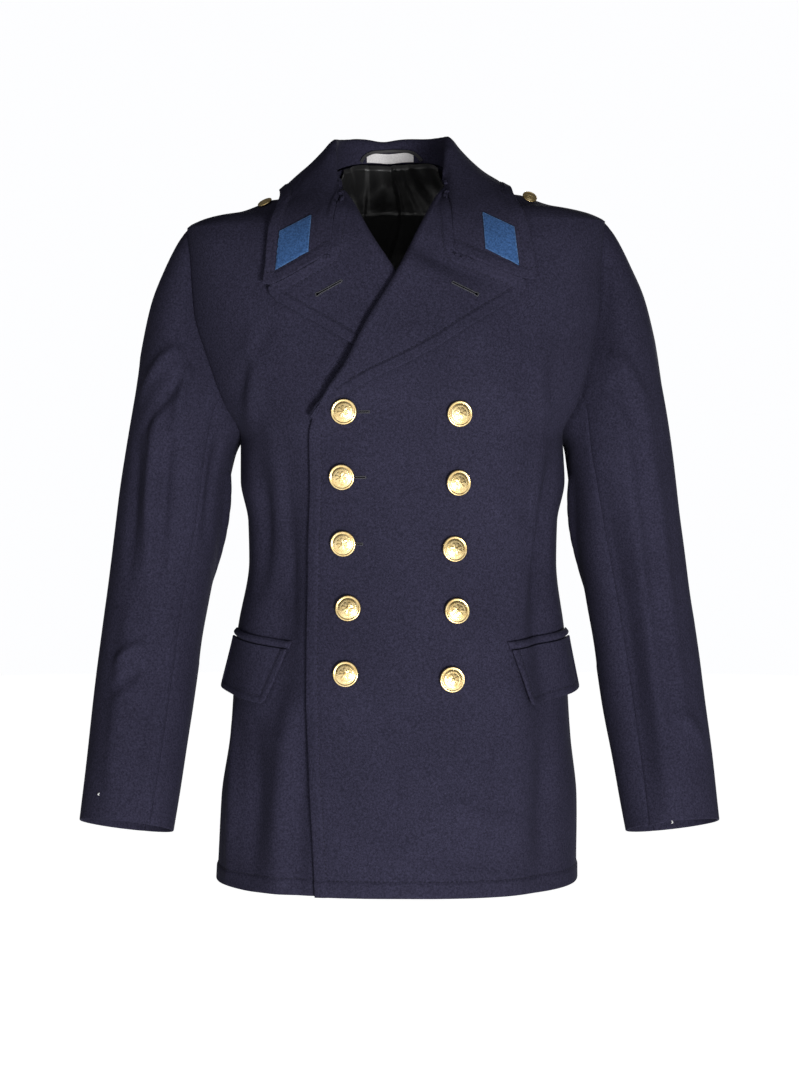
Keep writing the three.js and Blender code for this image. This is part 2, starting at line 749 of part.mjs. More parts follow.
// A point over a front's facets, or over the form itself where the front's own edge is just passed.
function overFront(side, x, z, out) {
  const place = onFront(side, x, z, 0);
  const mesh = fronts[side > 0 ? "left" : "right"];
  const hit = firstHit(new THREE.Vector3(place.x, -400, place.z), BACKWARD, [mesh]);
  const free = onFront(side, x, z, out);
  if (!hit) return free;
  const seated = hit.point.addScaledVector(bodyNormal(frontAngle(side * x, z), z), out);
  return seated.y < free.y ? seated : free;
}

function lapelGrid(side, rows) {
  return rows.map(({ rollZ, edgeX, edgeZ }) =>
    Array.from({ length: LAPEL_COLUMNS + 1 }, (_, j) => {
      const share = j / LAPEL_COLUMNS;
      const x = mix(frontEdge(rollZ) - 1, edgeX, share);
      const z = mix(rollZ, edgeZ, share);
      return overFront(side, x, z, LAPEL_GAP[side > 0 ? "left" : "right"] + TWO_PLY);
    }),
  );
}
addCloth("lapel_left", lapelGrid(1, LAPEL), TWO_PLY, 1, WOOL);
addCloth("lapel_right", lapelGrid(-1, LAPEL.slice(HIDDEN_LAPEL_START)), TWO_PLY, -1, WOOL);

// ---- Collar ----------------------------------------------------------------------------------

const COLLAR_STEPS = 13; // from the front end to the centre back
const FALL_REACHES = [0.12, 0.25, 0.4, 0.5, 0.67, 0.84, 1];

const collarHalf = (side) =>
  Array.from({ length: COLLAR_STEPS + 1 }, (_, k) => {
    const share = (k / COLLAR_STEPS) ** 1.25;
    return collarSection(side, share, FALL_REACHES);
  });
const collarGrid = [...collarHalf(1), ...collarHalf(-1).reverse().slice(1)];
const collarMesh = addCloth("collar", collarGrid, TWO_PLY, 1, WOOL);

// ---- Pocket flaps and welts ------------------------------------------------------------------

// A point beside the pocket: along 0 at the front edge to 1 at the rear, drop 0 at the top seam to 1
// at the flap's lower edge.
function flapPoint(name, along, drop, out) {
  const side = name === "left" ? 1 : -1;
  const front = FLAP_FRONT[name];
  const angle = mix(
    mix(front.top, FLAP_REAR.top, along),
    mix(front.bottom, FLAP_REAR.bottom, along),
    drop,
  );
  const z = mix(
    mix(FLAP_TOP.front, FLAP_TOP.rear, along),
    mix(FLAP_BOTTOM.front, FLAP_BOTTOM.rear, along),
    drop,
  );
  const lift = side > 0 ? overlapLift(angle, z) : 0;
  return offBody(side * angle, z, lift + out);
}

for (const [name, side] of [["left", 1], ["right", -1]]) {
  const across = [0, 1, 2, 3, 4, 5, 6].map((i) => i / 6);
  const flap = [0, 0.33, 0.66, 1].map((drop) =>
    across.map((along) => {
      const standOff = 1.6 * (1 - along) * drop + 8 * smooth((along - 0.45) / 0.55) * drop;
      return flapPoint(name, along, drop, FLAP_GAP + TWO_PLY + standOff);
    }),
  );
  addCloth(`pocket_flap_${name}`, flap, TWO_PLY, -side, WOOL);
  const weltTop = -WELT_HEIGHT / (FLAP_TOP.front - FLAP_BOTTOM.front);
  const welt = [weltTop, weltTop / 2, -0.012].map((drop, i) =>
    across.map((along) => flapPoint(name, along, drop, FLAP_GAP + CLOTH + (i === 1 ? 1.2 : 0))),
  );
  addCloth(`pocket_welt_${name}`, welt, CLOTH, -side, WOOL);
}

// ---- Collar patches, label and loop ----------------------------------------------------------

// Collar patches: parallelograms of felt on the fall, each point dropped on it from the front.
for (const [name, side] of [["left", 1], ["right", -1]]) {
  const [inTop, outTop, outBottom, inBottom] = PATCH_CORNERS;
  const steps = [0, 0.25, 0.5, 0.75, 1];
  const grid = steps.map((down) =>
    steps.map((out) => {
      const x = mix(mix(inTop.x, outTop.x, out), mix(inBottom.x, outBottom.x, out), down);
      const z = mix(mix(inTop.z, outTop.z, out), mix(inBottom.z, outBottom.z, out), down);
      const from = new THREE.Vector3(side * x, -400, z);
      const { point, normal } = firstHit(from, BACKWARD, [collarMesh]);
      return point.addScaledVector(normal, 1.7 + FELT);
    }),
  );
  addCloth(`collar_patch_${name}`, grid, FELT, -side, BLUE);
}

// Label and hanger loop lie on the neck side of the collar's stand.
function onStand(x, z, out) {
  const from = new THREE.Vector3(x, 0, z);
  const { point, normal } = firstHit(from, BACKWARD, [collarMesh]);
  return point.addScaledVector(normal, out);
}
const labelGrid = [0, 0.5, 1].map((up) =>
  [0, 0.25, 0.5, 0.75, 1].map((along) =>
    onStand(mix(LABEL.left, LABEL.right, along), mix(LABEL.bottom, LABEL.top, up), 0.6 + SATIN),
  ),
);
addCloth("label", labelGrid, SATIN, 1, WHITE);

const loopHeight = through(LOOP_PATH, "x", "z");
const loopSteps = Array.from({ length: 13 }, (_, i) => mix(LOOP_PATH[0].x, LOOP_PATH[6].x, i / 12));
const loopGrid = [0, 1].map((up) =>
  loopSteps.map((x) => onStand(x, loopHeight(x) + (up - 0.5) * LOOP_WIDTH, 0.6 + 2 * SATIN + 0.75)),
);
addCloth("hanger_loop", loopGrid, SATIN, 1, BLACK_SATIN);

// ---- Buttons ---------------------------------------------------------------------------------

// A button turned about the direction out of the cloth, with its shank seated just off it.
function addButton(name, seat, outward, radius) {
  const frame = new THREE.Quaternion().setFromUnitVectors(new THREE.Vector3(0, 0, 1), outward);
  const place = (turn, { radius: r, height }) => {
    const local = new THREE.Vector3(
      radius * r * Math.cos(turn),
      radius * r * Math.sin(turn),
      radius * height + SEAM_GAP,
    );
    return local.applyQuaternion(frame).add(seat);
  };
  const rings = BUTTON_PROFILE.slice(1, -1);
  const points = rings.flatMap((row) =>
    Array.from({ length: BUTTON_SIDES }, (_, k) => place((2 * Math.PI * k) / BUTTON_SIDES, row)),
  );
  const bottom = points.push(place(0, BUTTON_PROFILE[0])) - 1;
  const top = points.push(place(0, BUTTON_PROFILE[BUTTON_PROFILE.length - 1])) - 1;
  const triangles = [];
  for (let k = 0; k < BUTTON_SIDES; k += 1) {
    const next = (k + 1) % BUTTON_SIDES;
    triangles.push(bottom, next, k);
    for (let ring = 0; ring < rings.length - 1; ring += 1) {
      const low = ring * BUTTON_SIDES;
      const high = low + BUTTON_SIDES;
      triangles.push(low + k, low + next, high + next, low + k, high + next, high + k);
    }
    const last = (rings.length - 1) * BUTTON_SIDES;
    triangles.push(top, last + k, last + next);
  }
  return addMesh(name, points, triangles, GOLD);
}

// The seat of a button is the highest facet under its shank, so that the shank's whole foot clears it.
function addFrontButton(name, x, z) {
  const from = new THREE.Vector3(x + body.shift(z), -400, z);
  const { point, normal } = firstHit(from, BACKWARD, [fronts.left]);
  addButton(name, point, normal, BUTTON_RADIUS);
}

BUTTON_ROWS.forEach((row, i) => {
  addFrontButton(`button_right_${i + 1}`, row.rightX, row.rightZ);
  addFrontButton(`button_left_${i + 1}`, row.leftX, row.leftZ);
});

const DOWNWARD = new THREE.Vector3(0, 0, -1);
for (const [name, side] of [["left", 1], ["right", -1]]) {
  const from = new THREE.Vector3(side * 135, -26, 100);
  const { point, normal } = firstHit(from, DOWNWARD, [fronts[name]]);
  const outward = normal.clone();
  if (side > 0) outward.addScaledVector(BACKWARD, -0.3);
  const seat = point.clone().addScaledVector(normal, side > 0 ? 1.2 : 0);
  addButton(`shoulder_button_${name}`, seat, outward.normalize(), SHOULDER_BUTTON_RADIUS);
}

// The slight lean of the whole upper coat, towards its right.
for (const mesh of coat.children) {
  const places = mesh.geometry.getAttribute("position");
  for (let i = 0; i < places.count; i += 1) {
    const share = smooth((places.getZ(i) + 330) / 200);
    places.setZ(i, places.getZ(i) + LEAN * places.getX(i) * share);
  }
  mesh.geometry.computeVertexNormals();
}

export default coat;
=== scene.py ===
"""Looks of the double-breasted wool uniform coat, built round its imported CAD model.

All forms are worked out in millimetres in the coat's own frame: +X its left, -Y its front, +Z up, with
the origin in the middle of the neck. They are the CAD model's forms, sampled finely, with the folds,
seams, stitching and rolled edges that its facets leave out.
"""

import math

import bpy
import numpy as np
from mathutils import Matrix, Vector, kdtree
from mathutils.bvhtree import BVHTree


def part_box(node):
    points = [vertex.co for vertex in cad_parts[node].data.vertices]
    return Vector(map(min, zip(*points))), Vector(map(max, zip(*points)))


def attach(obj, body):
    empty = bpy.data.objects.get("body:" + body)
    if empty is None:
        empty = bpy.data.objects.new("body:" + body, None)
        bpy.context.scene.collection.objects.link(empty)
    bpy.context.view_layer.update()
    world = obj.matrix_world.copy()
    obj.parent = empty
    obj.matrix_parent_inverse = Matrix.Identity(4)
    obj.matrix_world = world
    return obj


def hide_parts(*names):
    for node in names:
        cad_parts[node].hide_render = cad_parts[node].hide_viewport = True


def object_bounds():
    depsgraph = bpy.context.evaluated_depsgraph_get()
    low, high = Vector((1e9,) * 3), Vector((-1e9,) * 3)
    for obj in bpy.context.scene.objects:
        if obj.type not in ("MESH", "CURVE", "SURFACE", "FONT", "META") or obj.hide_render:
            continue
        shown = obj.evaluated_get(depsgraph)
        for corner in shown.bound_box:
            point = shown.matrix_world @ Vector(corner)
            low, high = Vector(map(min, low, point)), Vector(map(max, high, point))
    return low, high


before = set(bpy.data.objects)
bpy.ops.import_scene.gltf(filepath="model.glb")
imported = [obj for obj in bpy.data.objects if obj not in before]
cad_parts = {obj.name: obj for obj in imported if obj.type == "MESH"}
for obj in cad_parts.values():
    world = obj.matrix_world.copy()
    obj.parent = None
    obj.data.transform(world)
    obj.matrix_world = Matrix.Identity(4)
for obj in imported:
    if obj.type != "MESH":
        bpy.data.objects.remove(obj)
CAD_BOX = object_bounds()
MM = 0.001

# ---- Sizes, in millimetres -------------------------------------------------------------------

CLOTH = 2.4
TWO_PLY = 3.2
FELT = 1.2
SATIN = 0.8
SEAM_GAP = -0.4
HEM = -745.0
HEM_FRONT = -733.0
HEM_SIDE = -735.5
UNDER_HEM_RISE = 3.0
# How far up from the hem its rise fades out.
HEM_REACH = 145.0
ARMPIT = -275.0
# Under this height the lapping front's edge is free and stitched; over it the front is turned back.
BREAK_Z = -262.0
SHOULDER_TIP = -51.0
NECK_POINT = 2.0
NECK_RISE = 16.5
GORGE_ANGLE = 52.0
GORGE_Z = -17.0
GORGE_SETBACK = 8.0
NECK_FRONT_ANGLE = 78.0
LEAN = 0.018
BUTTON_RADIUS = 13.0
SHOULDER_BUTTON_RADIUS = 7.8


def table(columns, rows):
    """One array for each named column."""
    return {name: np.array([row[i] for row in rows], float) for i, name in enumerate(columns)}


BODY = table(
    ["z", "half", "front", "back", "square", "shift"],
    [
        [-745, 190, 134, 128, 2.3, 0],
        [-648, 187, 132, 126, 2.3, 2],
        [-585, 179, 130, 122, 2.3, 3],
        [-475, 171, 124, 110, 2.4, 4],
        [-400, 160, 119, 103, 2.4, 6],
        [-360, 161, 121, 105, 2.4, 6],
        [-317, 169, 126, 112, 2.4, 6],
        [-275, 168, 130, 118, 2.4, 5],
        [-235, 193, 130, 121, 2.4, 4],
        [-200, 206, 127, 124, 2.4, 3],
        [-135, 219, 117, 124.5, 2.4, 0.5],
        [-75, 220, 102, 119, 2.4, 0],
        [-52, 218, 89, 113, 2.35, 0],
        [-44, 204, 82, 110.5, 2.3, 0],
        [-40, 189, 77, 109, 2.3, 0],
        [-36, 164, 72, 107.5, 2.3, 0],
        [-30, 147, 65, 105.5, 2.3, 0],
        [-24, 134, 58, 102.5, 2.3, -0.5],
        [-21, 115, 55, 100.5, 2.3, -1],
        [-16, 98, 51, 98, 2.25, -2],
        [-8, 82, 46, 93.5, 2.2, -4],
        [2, 68, 40, 88, 2.2, -6],
        [20, 62, 34, 79, 2.2, -6],
    ],
)

# The free edge of the fronts below the break, and the roll line above it.
FRONT_EDGE = table(
    ["z", "x"],
    [
        [-745, -82],
        [-695, -85],
        [-615, -90],
        [-535, -93.5],
        [-394, -94.6],
        [-334, -92.5],
        [-274, -91],
        [-252, -87],
        [-236, -78.5],
        [-201, -53.5],
        [-158, -30],
        [-110, 0.5],
        [-76, 20],
        [-42, 38.2],
        [-17, 50.8],
    ],
)

# The lapel: where each row leaves the roll line, and where it meets the lapel's outer edge.
LAPEL = table(
    ["rollZ", "edgeX", "edgeZ"],
    [
        [-252, -86, -251],
        [-241, -80, -240],
        [-229, -66, -232.5],
        [-217, -50, -227],
        [-200, -26, -214],
        [-180, 4, -200.5],
        [-159, 38, -183],
        [-138, 80, -157],
        [-117, 125, -130],
        [-104, 127.5, -122],
        [-84, 95, -105.3],
        [-64, 61, -88.5],
        [-46, 56.3, -66],
        [-30, 53.3, -47],
        [-20, 50.6, -34.5],
    ],
)

SLEEVE = table(
    ["ring", "outX", "outZ", "inX", "inZ", "front", "back", "pitch"],
    [
        [0, 218, -51, 169, -275, -54, 60, 0],
        [1, 229, -68, 172.5, -282, -61, 64, 0],
        [2, 243, -95, 174.5, -290, -68, 69, 0],
        [3, 257, -128, 176, -302, -74, 73, 0],
        [4, 267.5, -170, 178.5, -319, -77, 75, 0],
        [5, 275.5, -215, 181.5, -343, -78, 74, 1],
        [6, 283.5, -264, 185.5, -374, -77, 70, 2],
        [7, 290.5, -315, 191.5, -409, -75, 64, 4],
        [8, 296.5, -367, 198, -445, -74, 57, 6],
        [9, 302.5, -418, 204, -480, -75, 47, 8],
        [10, 308.5, -468, 208.5, -516, -80, 35, 10],
        [11, 314, -518, 213.5, -553, -88, 21, 11],
        [12, 319, -568, 219.5, -592, -97, 6, 12],
        [13, 323.5, -617, 226, -633, -106, -9, 12],
        [14, 328, -665, 233, -675.5, -114, -24, 12],
    ],
)
LAST_RING = 14
SLEEVE_BLEND = 4.5
SLEEVE_SHIFT = 2.0
FRONT_SEAM = 126.0
BACK_SEAM = 252.0

COLLAR = table(
    ["share", "neckAngle", "crestAngle", "crestZ", "crestR", "edgeAngle", "edgeZ", "edgeR"],
    [
        [0, 51.5, 47.2, -16.5, 74, 52.7, -114.5, 173],
        [0.06, 58.5, 54, -5, 67, 52.6, -97, 169],
        [0.12, 65, 61, 9, 63, 53.5, -78, 164],
        [0.2, 73.5, 71, 24, 60.5, 56.5, -53, 153],
        [0.27, 80.5, 79, 32, 59, 62, -36, 134],
        [0.35, 87.5, 87, 38, 58.5, 74, -21, 122],
        [0.45, 98, 98, 41, 59.5, 90, -13.5, 119.5],
        [0.6, 118, 118, 43, 63.5, 115, -16, 117],
        [0.78, 147, 147, 45, 71.5, 146, -21, 114],
        [1, 180, 180, 46, 76, 180, -24, 110],
    ],
)
COLLAR_END = table(
    ["reach", "angle", "z"],
    [
        [0, 47.2, -16.5],
        [0.12, 36.6, -33],
        [0.25, 31.8, -50],
        [0.4, 29.4, -70],
        [0.5, 29.2, -84],
        [0.75, 40.3, -100.5],
        [0.93, 50, -115.5],
        [1, 52.7, -114.5],
    ],
)
NOTCH_Z = -84.0
COLLAR_END_FADE = 0.27
COLLAR_SWAY_GORGE = -2.0
COLLAR_SWAY_CORNER = 1.2
COLLAR_ROOM = 8.4
LEVEL_SHARE = 0.75
CREST_DROP = 5.0
CREST_SPREAD = 4.0
FALL_HOLLOW = 5.0

FLAP_FRONT_TOP = {"left": 46.0, "right": 50.0}
FLAP_FRONT_BOTTOM = {"left": 52.5, "right": 57.5}
FLAP_REAR_TOP = 81.0
FLAP_REAR_BOTTOM = 85.0
FLAP_TOP_FRONT = -486.0
FLAP_TOP_REAR = -478.0
FLAP_BOTTOM_FRONT = -543.0
FLAP_BOTTOM_REAR = -533.0
WELT_HEIGHT = 9.0

SIDES = [("left", 1), ("right", -1)]


def mix(a, b, share):
    return a + (b - a) * share


def smooth(share):
    t = np.clip(share, 0, 1)
    return t * t * (3 - 2 * t)


def unit(vectors):
    length = np.linalg.norm(vectors, axis=-1, keepdims=True)
    return vectors / np.maximum(length, 1e-9)


def stack(x, y, z):
    return np.stack(np.broadcast_arrays(x, y, z), axis=-1).astype(float)


def cubic(t, h, start, end, start_slope, end_slope):
    """The place at share t of a cubic over a stretch h, from its ends and its slopes there."""
    return (
        (2 * t**3 - 3 * t**2 + 1) * start
        + (t**3 - 2 * t**2 + t) * h * start_slope
        + (3 * t**2 - 2 * t**3) * end
        + (t**3 - t**2) * h * end_slope
    )


def through(x, y):
    """A smooth curve through the points (x, y) that never overshoots them."""
    step = np.diff(x)
    slope = np.diff(y) / step
    before = 2 * step[1:] + step[:-1]
    after = step[1:] + 2 * step[:-1]
    level = slope[:-1] * slope[1:] <= 0
    safe_a = np.where(level, 1, slope[:-1])
    safe_b = np.where(level, 1, slope[1:])
    inner = np.where(level, 0, (before + after) / (before / safe_a + after / safe_b))
    tangent = np.concatenate([slope[:1], inner, slope[-1:]])

    def curve(value):
        at = np.clip(value, x[0], x[-1])
        i = np.clip(np.searchsorted(x, at, side="right") - 1, 0, len(step) - 1)
        h = step[i]
        t = (at - x[i]) / h
        return cubic(t, h, y[i], y[i + 1], tangent[i], tangent[i + 1])

    return curve


def curves(columns, key):
    return {name: through(columns[key], column) for name, column in columns.items() if name != key}


body = curves(BODY, "z")
sleeve = curves(SLEEVE, "ring")
collar = curves(COLLAR, "share")
collar_end = curves(COLLAR_END, "reach")
front_edge = through(FRONT_EDGE["z"], FRONT_EDGE["x"])

# ---- The body's form -------------------------------------------------------------------------


def body_radius(angle, z):
    turn = np.radians(angle)
    depth = np.where(np.cos(turn) > 0, body["front"](z), body["back"](z))
    n = body["square"](z)
    across = np.abs(np.sin(turn)) / body["half"](z)
    along = np.abs(np.cos(turn)) / depth
    return (across**n + along**n) ** (-1 / n)


def around(angle, z, radius):
    turn = np.radians(angle)
    return stack(body["shift"](z) + radius * np.sin(turn), -radius * np.cos(turn), z)


def on_body(angle, z):
    return around(angle, z, body_radius(angle, z))


def body_normal(angle, z):
    across = on_body(angle + 1, z) - on_body(angle - 1, z)
    up = on_body(angle, z + 1) - on_body(angle, z - 1)
    return unit(np.cross(across, up))


def off_body(angle, z, out):
    return on_body(angle, z) + body_normal(angle, z) * np.asarray(out)[..., None]


def opening_sway(z):
    return -3.5 * smooth((z + 105) / 45) * (1 - smooth((z + 30) / 14))


def angle_at(x, z, depth_name):
    """The angle at which the body lies at x from its middle, on its front or back."""
    n = body["square"](z)
    share = np.minimum(np.abs(x) / body["half"](z), 0.9999)
    depth = body[depth_name](z) * (1 - share**n) ** (1 / n)
    turn = np.degrees(np.arctan2(x, depth))
    return turn if depth_name == "front" else np.sign(x) * 180 - turn


def front_angle(x, z):
    return angle_at(x, z, "front")


def neck_height(angle):
    turn = np.abs(angle)
    rising = mix(GORGE_Z, NECK_POINT, (turn - GORGE_ANGLE) / (NECK_FRONT_ANGLE - GORGE_ANGLE))
    behind = NECK_POINT + NECK_RISE * smooth((turn - 90) / 70)
    return np.where(turn < NECK_FRONT_ANGLE, rising, behind)


def row_height(z, angle):
    forward = np.cos(np.radians(angle))
    hem = np.where(forward > 0, mix(HEM_SIDE, HEM_FRONT, forward), mix(HEM_SIDE, HEM, -forward))
    hem_share = 1 - smooth((z - HEM) / HEM_REACH)
    neck_share = smooth((z + 31) / (31 + NECK_POINT))
    rise = np.where(np.abs(angle) > 90, neck_height(angle) - NECK_POINT, 0)
    return z + (hem - HEM) * hem_share + rise * neck_share


# ---- The armhole and the sleeve --------------------------------------------------------------


def armhole_height(turn):
    return mix(ARMPIT, SHOULDER_TIP, (1 + np.cos(np.radians(turn))) / 2)


def armhole_point(turn):
    c = np.cos(np.radians(turn))
    s = np.sin(np.radians(turn))
    z = armhole_height(turn)
    width = np.where(s > 0, 51 - 22 * c + 30 * c * c, 50 - 12 * c + 16 * c * c)
    y = 3 - 3 * c - width * s
    n = body["square"](z)
    share = np.abs(y) / np.where(y < 0, body["front"](z), body["back"](z))
    return stack(body["half"](z) * (1 - share**n) ** (1 / n), y, z)


def armhole_angle(turn):
    point = armhole_point(turn)
    return np.degrees(np.arctan2(point[..., 0], -point[..., 1]))


def ring_point(turn, ring):
    c = np.cos(np.radians(turn))
    s = np.sin(np.radians(turn))
    out = (1 + c) / 2
    return stack(
        mix(sleeve["inX"](ring), sleeve["outX"](ring), out),
        (sleeve["front"](ring) * (1 + s) + sleeve["back"](ring) * (1 - s)) / 2,
        mix(sleeve["inZ"](ring), sleeve["outZ"](ring), out) + sleeve["pitch"](ring) * s,
    )


def sleeve_point(side, turn, ring):
    fit = (1 - smooth(ring / SLEEVE_BLEND))[..., None]
    point = ring_point(turn, ring) + (armhole_point(turn) - ring_point(turn, 0 * ring)) * fit
    shift = mix(SLEEVE_SHIFT, body["shift"](armhole_height(turn)), fit[..., 0])
    return stack(side * point[..., 0] + shift, point[..., 1], point[..., 2])


def sleeve_normal(side, turn, ring):
    across = sleeve_point(side, turn + 1, ring) - sleeve_point(side, turn - 1, ring)
    along = sleeve_point(side, turn, ring + 0.1) - sleeve_point(side, turn, np.maximum(ring - 0.1, 0))
    return unit(np.cross(across, along)) * side


# ---- Folds -----------------------------------------------------------------------------------

# Soft troughs and ridges on the body, each a curve through three places x, z on the front or back.
BODY_FOLDS = table(
    ["behind", "x1", "z1", "x2", "z2", "x3", "z3", "width", "height"],
    [
        # waist darts down to the pockets
        [0, -121, -300, -117, -400, -112, -484, 3.2, -1.1],
        [0, 127, -300, 121, -400, 114, -484, 3.2, -1.1],
        # skirt, coat's right front
        [0, -112, -520, -119, -630, -122, -748, 13, 3.0],
        [0, -98, -545, -100, -645, -102, -748, 8, -2.2],
        [0, -130, -262, -122, -430, -130, -575, 24, -4.4],
        [0, -150, -550, -148, -640, -150, -735, 14, -2.6],
        [0, -172, -545, -172, -640, -176, -735, 10, 2.6],
        # skirt, coat's left front
        [0, 152, -560, 148, -640, 150, -735, 16, -2.6],
        [0, 154, -285, 142, -430, 150, -565, 21, -4.4],
        [0, 116, -500, 122, -620, 118, -740, 20, 1.8],
        [0, 30, -640, 90, -655, 150, -690, 12, 1.2],
        [0, 10, -690, 80, -697, 150, -715, 9, -1.1],
        # waist and chest, coat's left front
        [0, 143, -262, 134, -340, 116, -455, 12, 2.4],
        [0, 152, -300, 148, -370, 140, -450, 10, -2.6],
        [0, 80, -300, 100, -345, 135, -375, 13, 1.3],
        [0, 150, -170, 140, -215, 150, -262, 9, 1.8],
        # waist and chest, coat's right front
        [0, -150, -285, -143, -360, -148, -440, 11, -2.4],
        [0, -135, -250, -128, -330, -132, -430, 12, 1.8],
        [0, -150, -160, -148, -215, -156, -262, 9, 2.0],
        [0, -60, -230, -95, -255, -140, -262, 15, 1.2],
        [0, -125, -150, -148, -190, -165, -235, 8, -1.4],
        # back: below the collar, shoulder blades, waist, skirt
        [1, -80, -52, 0, -66, 84, -50, 9, -1.3],
        [1, -165, -120, -120, -175, -70, -215, 13, 2.2],
        [1, 168, -126, 124, -184, 78, -226, 12, 2.0],
        [1, -150, -235, -128, -300, -122, -380, 12, -2.6],
        [1, 152, -240, 130, -300, 126, -384, 11, -2.4],
        [1, -130, -378, -60, -392, -12, -386, 8, -1.6],
        [1, 12, -392, 62, -396, 134, -380, 8, -1.5],
        [1, -118, -410, -64, -418, -14, -412, 8, 1.3],
        [1, 14, -418, 70, -421, 120, -412, 8, 1.3],
        [1, -62, -440, -70, -580, -82, -740, 17, 3.2],
        [1, 58, -446, 70, -590, 80, -742, 18, 3.0],
        [1, -112, -470, -118, -600, -130, -740, 14, -2.6],
        [1, 114, -476, 120, -610, 128, -742, 14, -2.4],
        [1, -20, -520, -26, -630, -32, -744, 12, 1.5],
        [1, 24, -540, 28, -640, 34, -744, 12, 1.4],
    ],
)
# The same on a sleeve, by degrees round it and rings down it; side is 1 on the coat's left.
SLEEVE_FOLDS = table(
    ["side", "turn1", "ring1", "turn2", "ring2", "turn3", "ring3", "width", "height"],
    [
        [-1, 84, 1.9, 62, 3.4, 35, 5.2, 6, 2.0],
        [-1, 92, 2.4, 76, 3.9, 48, 5.8, 6, -2.0],
        [-1, 96, 1.6, 90, 3.2, 88, 4.9, 5, 2.0],
        [-1, 64, 4.6, 70, 6.4, 80, 8.4, 7, 2.6],
        [-1, 84, 4.8, 88, 6.5, 98, 8.6, 7, -2.2],
        [-1, 44, 5.6, 52, 7.2, 60, 9.0, 8, -1.8],
        [-1, 57, 10.8, 74, 10.3, 92, 10.0, 5, 2.2],
        [-1, 60, 11.4, 76, 10.9, 96, 10.5, 6, -1.8],
        [-1, 66, 9.2, 68, 11.4, 72, 13.8, 9, 1.6],
        [-1, 104, 9.0, 102, 11.4, 100, 13.9, 8, -1.6],
        [-1, 140, 2.2, 138, 4.4, 140, 6.6, 6, -1.8],
        [1, 86, 4.2, 90, 9.4, 95, 14.3, 9, 2.6],
        [1, 118, 4.4, 119, 9.4, 121, 14.3, 15, -3.4],
        [1, 60, 4.4, 64, 8.6, 70, 13.4, 10, 1.8],
        [1, 78, 4.2, 82, 8.4, 86, 13.0, 8, -1.7],
        [1, 88, 1.8, 76, 3.3, 58, 4.8, 6, 1.8],
        [1, 98, 2.6, 84, 4.0, 66, 5.4, 6, -1.6],
        [1, 40, 12.6, 56, 12.0, 74, 11.8, 6, 1.2],
        # outer and back faces of both sleeves
        [-1, 10, 4.4, 2, 6.8, -6, 9.6, 9, -1.9],
        [-1, -20, 3.8, -24, 6.4, -20, 9.4, 10, 2.2],
        [-1, -62, 3.2, -50, 4.6, -30, 5.8, 7, 2.0],
        [-1, -78, 6.4, -54, 6.9, -28, 6.8, 7, 2.4],
        [-1, -82, 7.4, -54, 7.7, -24, 7.6, 7, -2.2],
        [-1, -60, 9.6, -56, 11.6, -52, 13.8, 10, 1.8],
        [1, 12, 4.2, 4, 6.6, 0, 9.8, 9, -1.9],
        [1, -18, 4.0, -24, 6.6, -18, 9.6, 10, 2.2],
        [1, -64, 3.0, -50, 4.3, -28, 5.4, 7, 2.0],
        [1, -80, 6.6, -54, 7.1, -26, 7.0, 7, 2.4],
        [1, -82, 7.6, -56, 7.9, -26, 7.8, 7, -2.2],
        [1, -58, 9.4, -56, 11.6, -50, 13.9, 10, 1.8],
        [-1, 168, 3.4, 176, 5.2, 190, 7.4, 8, 2.2],
        [1, 166, 3.6, 176, 5.4, 192, 7.6, 8, 2.2],
        [-1, 206, 5.8, 200, 7.6, 190, 9.8, 8, -2.0],
        [1, 208, 6.0, 200, 7.9, 190, 9.9, 8, -2.0],
    ],
)
FOLD_STEPS = 14
# How far every fold goes, as a multiple of its height in the tables.
FOLD_DEPTH = 2.6


def fold_curve(a, b, c):
    """Places along a smooth curve from a by way of b to c."""
    t = np.linspace(0, 1, FOLD_STEPS + 1)
    return (2 * t - 1) * (t - 1) * a + 4 * t * (1 - t) * b + t * (2 * t - 1) * c


def fold_height(points, curve, width, height):
    """How far one fold moves the cloth at each point: most along the middle of its curve."""
    flat = points.reshape(-1, 3)
    low = curve.min(0) - 3 * width
    high = curve.max(0) + 3 * width
    near = np.where(np.all((flat > low) & (flat < high), axis=1))[0]
    result = np.zeros(len(flat))
    if len(near) == 0:
        return result.reshape(points.shape[:-1])
    close = flat[near]
    best = np.full(len(near), 1e9)
    place = np.zeros(len(near))
    for i in range(len(curve) - 1):
        along = curve[i + 1] - curve[i]
        t = np.clip((close - curve[i]) @ along / (along @ along), 0, 1)
        gap = np.linalg.norm(close - curve[i] - t[:, None] * along, axis=1)
        nearer = gap < best
        best = np.where(nearer, gap, best)
        place = np.where(nearer, (i + t) / (len(curve) - 1), place)
    taper = np.sin(np.pi * np.clip(place, 0, 1)) ** 0.7
    result[near] = FOLD_DEPTH * height * taper * np.exp(-((best / width) ** 2))
    return result.reshape(points.shape[:-1])


def folds(kind):
    """The fold table as curves in space."""
    found = []
    if kind == "body":
        for i in range(len(BODY_FOLDS["width"])):
            fold = {name: column[i] for name, column in BODY_FOLDS.items()}
            x = fold_curve(fold["x1"], fold["x2"], fold["x3"])
            z = fold_curve(fold["z1"], fold["z2"], fold["z3"])
            angle = angle_at(x, z, "back" if fold["behind"] else "front")
            found.append((on_body(angle, z), fold["width"], fold["height"]))
        return found
    for i in range(len(SLEEVE_FOLDS["width"])):
        fold = {name: column[i] for name, column in SLEEVE_FOLDS.items()}
        if fold["side"] != kind:
            continue
        turn = fold_curve(fold["turn1"], fold["turn2"], fold["turn3"])
        ring = fold_curve(fold["ring1"], fold["ring2"], fold["ring3"])
        found.append((sleeve_point(kind, turn, ring), fold["width"], fold["height"]))
    return found


FOLDS = {"body": folds("body"), 1: folds(1), -1: folds(-1)}

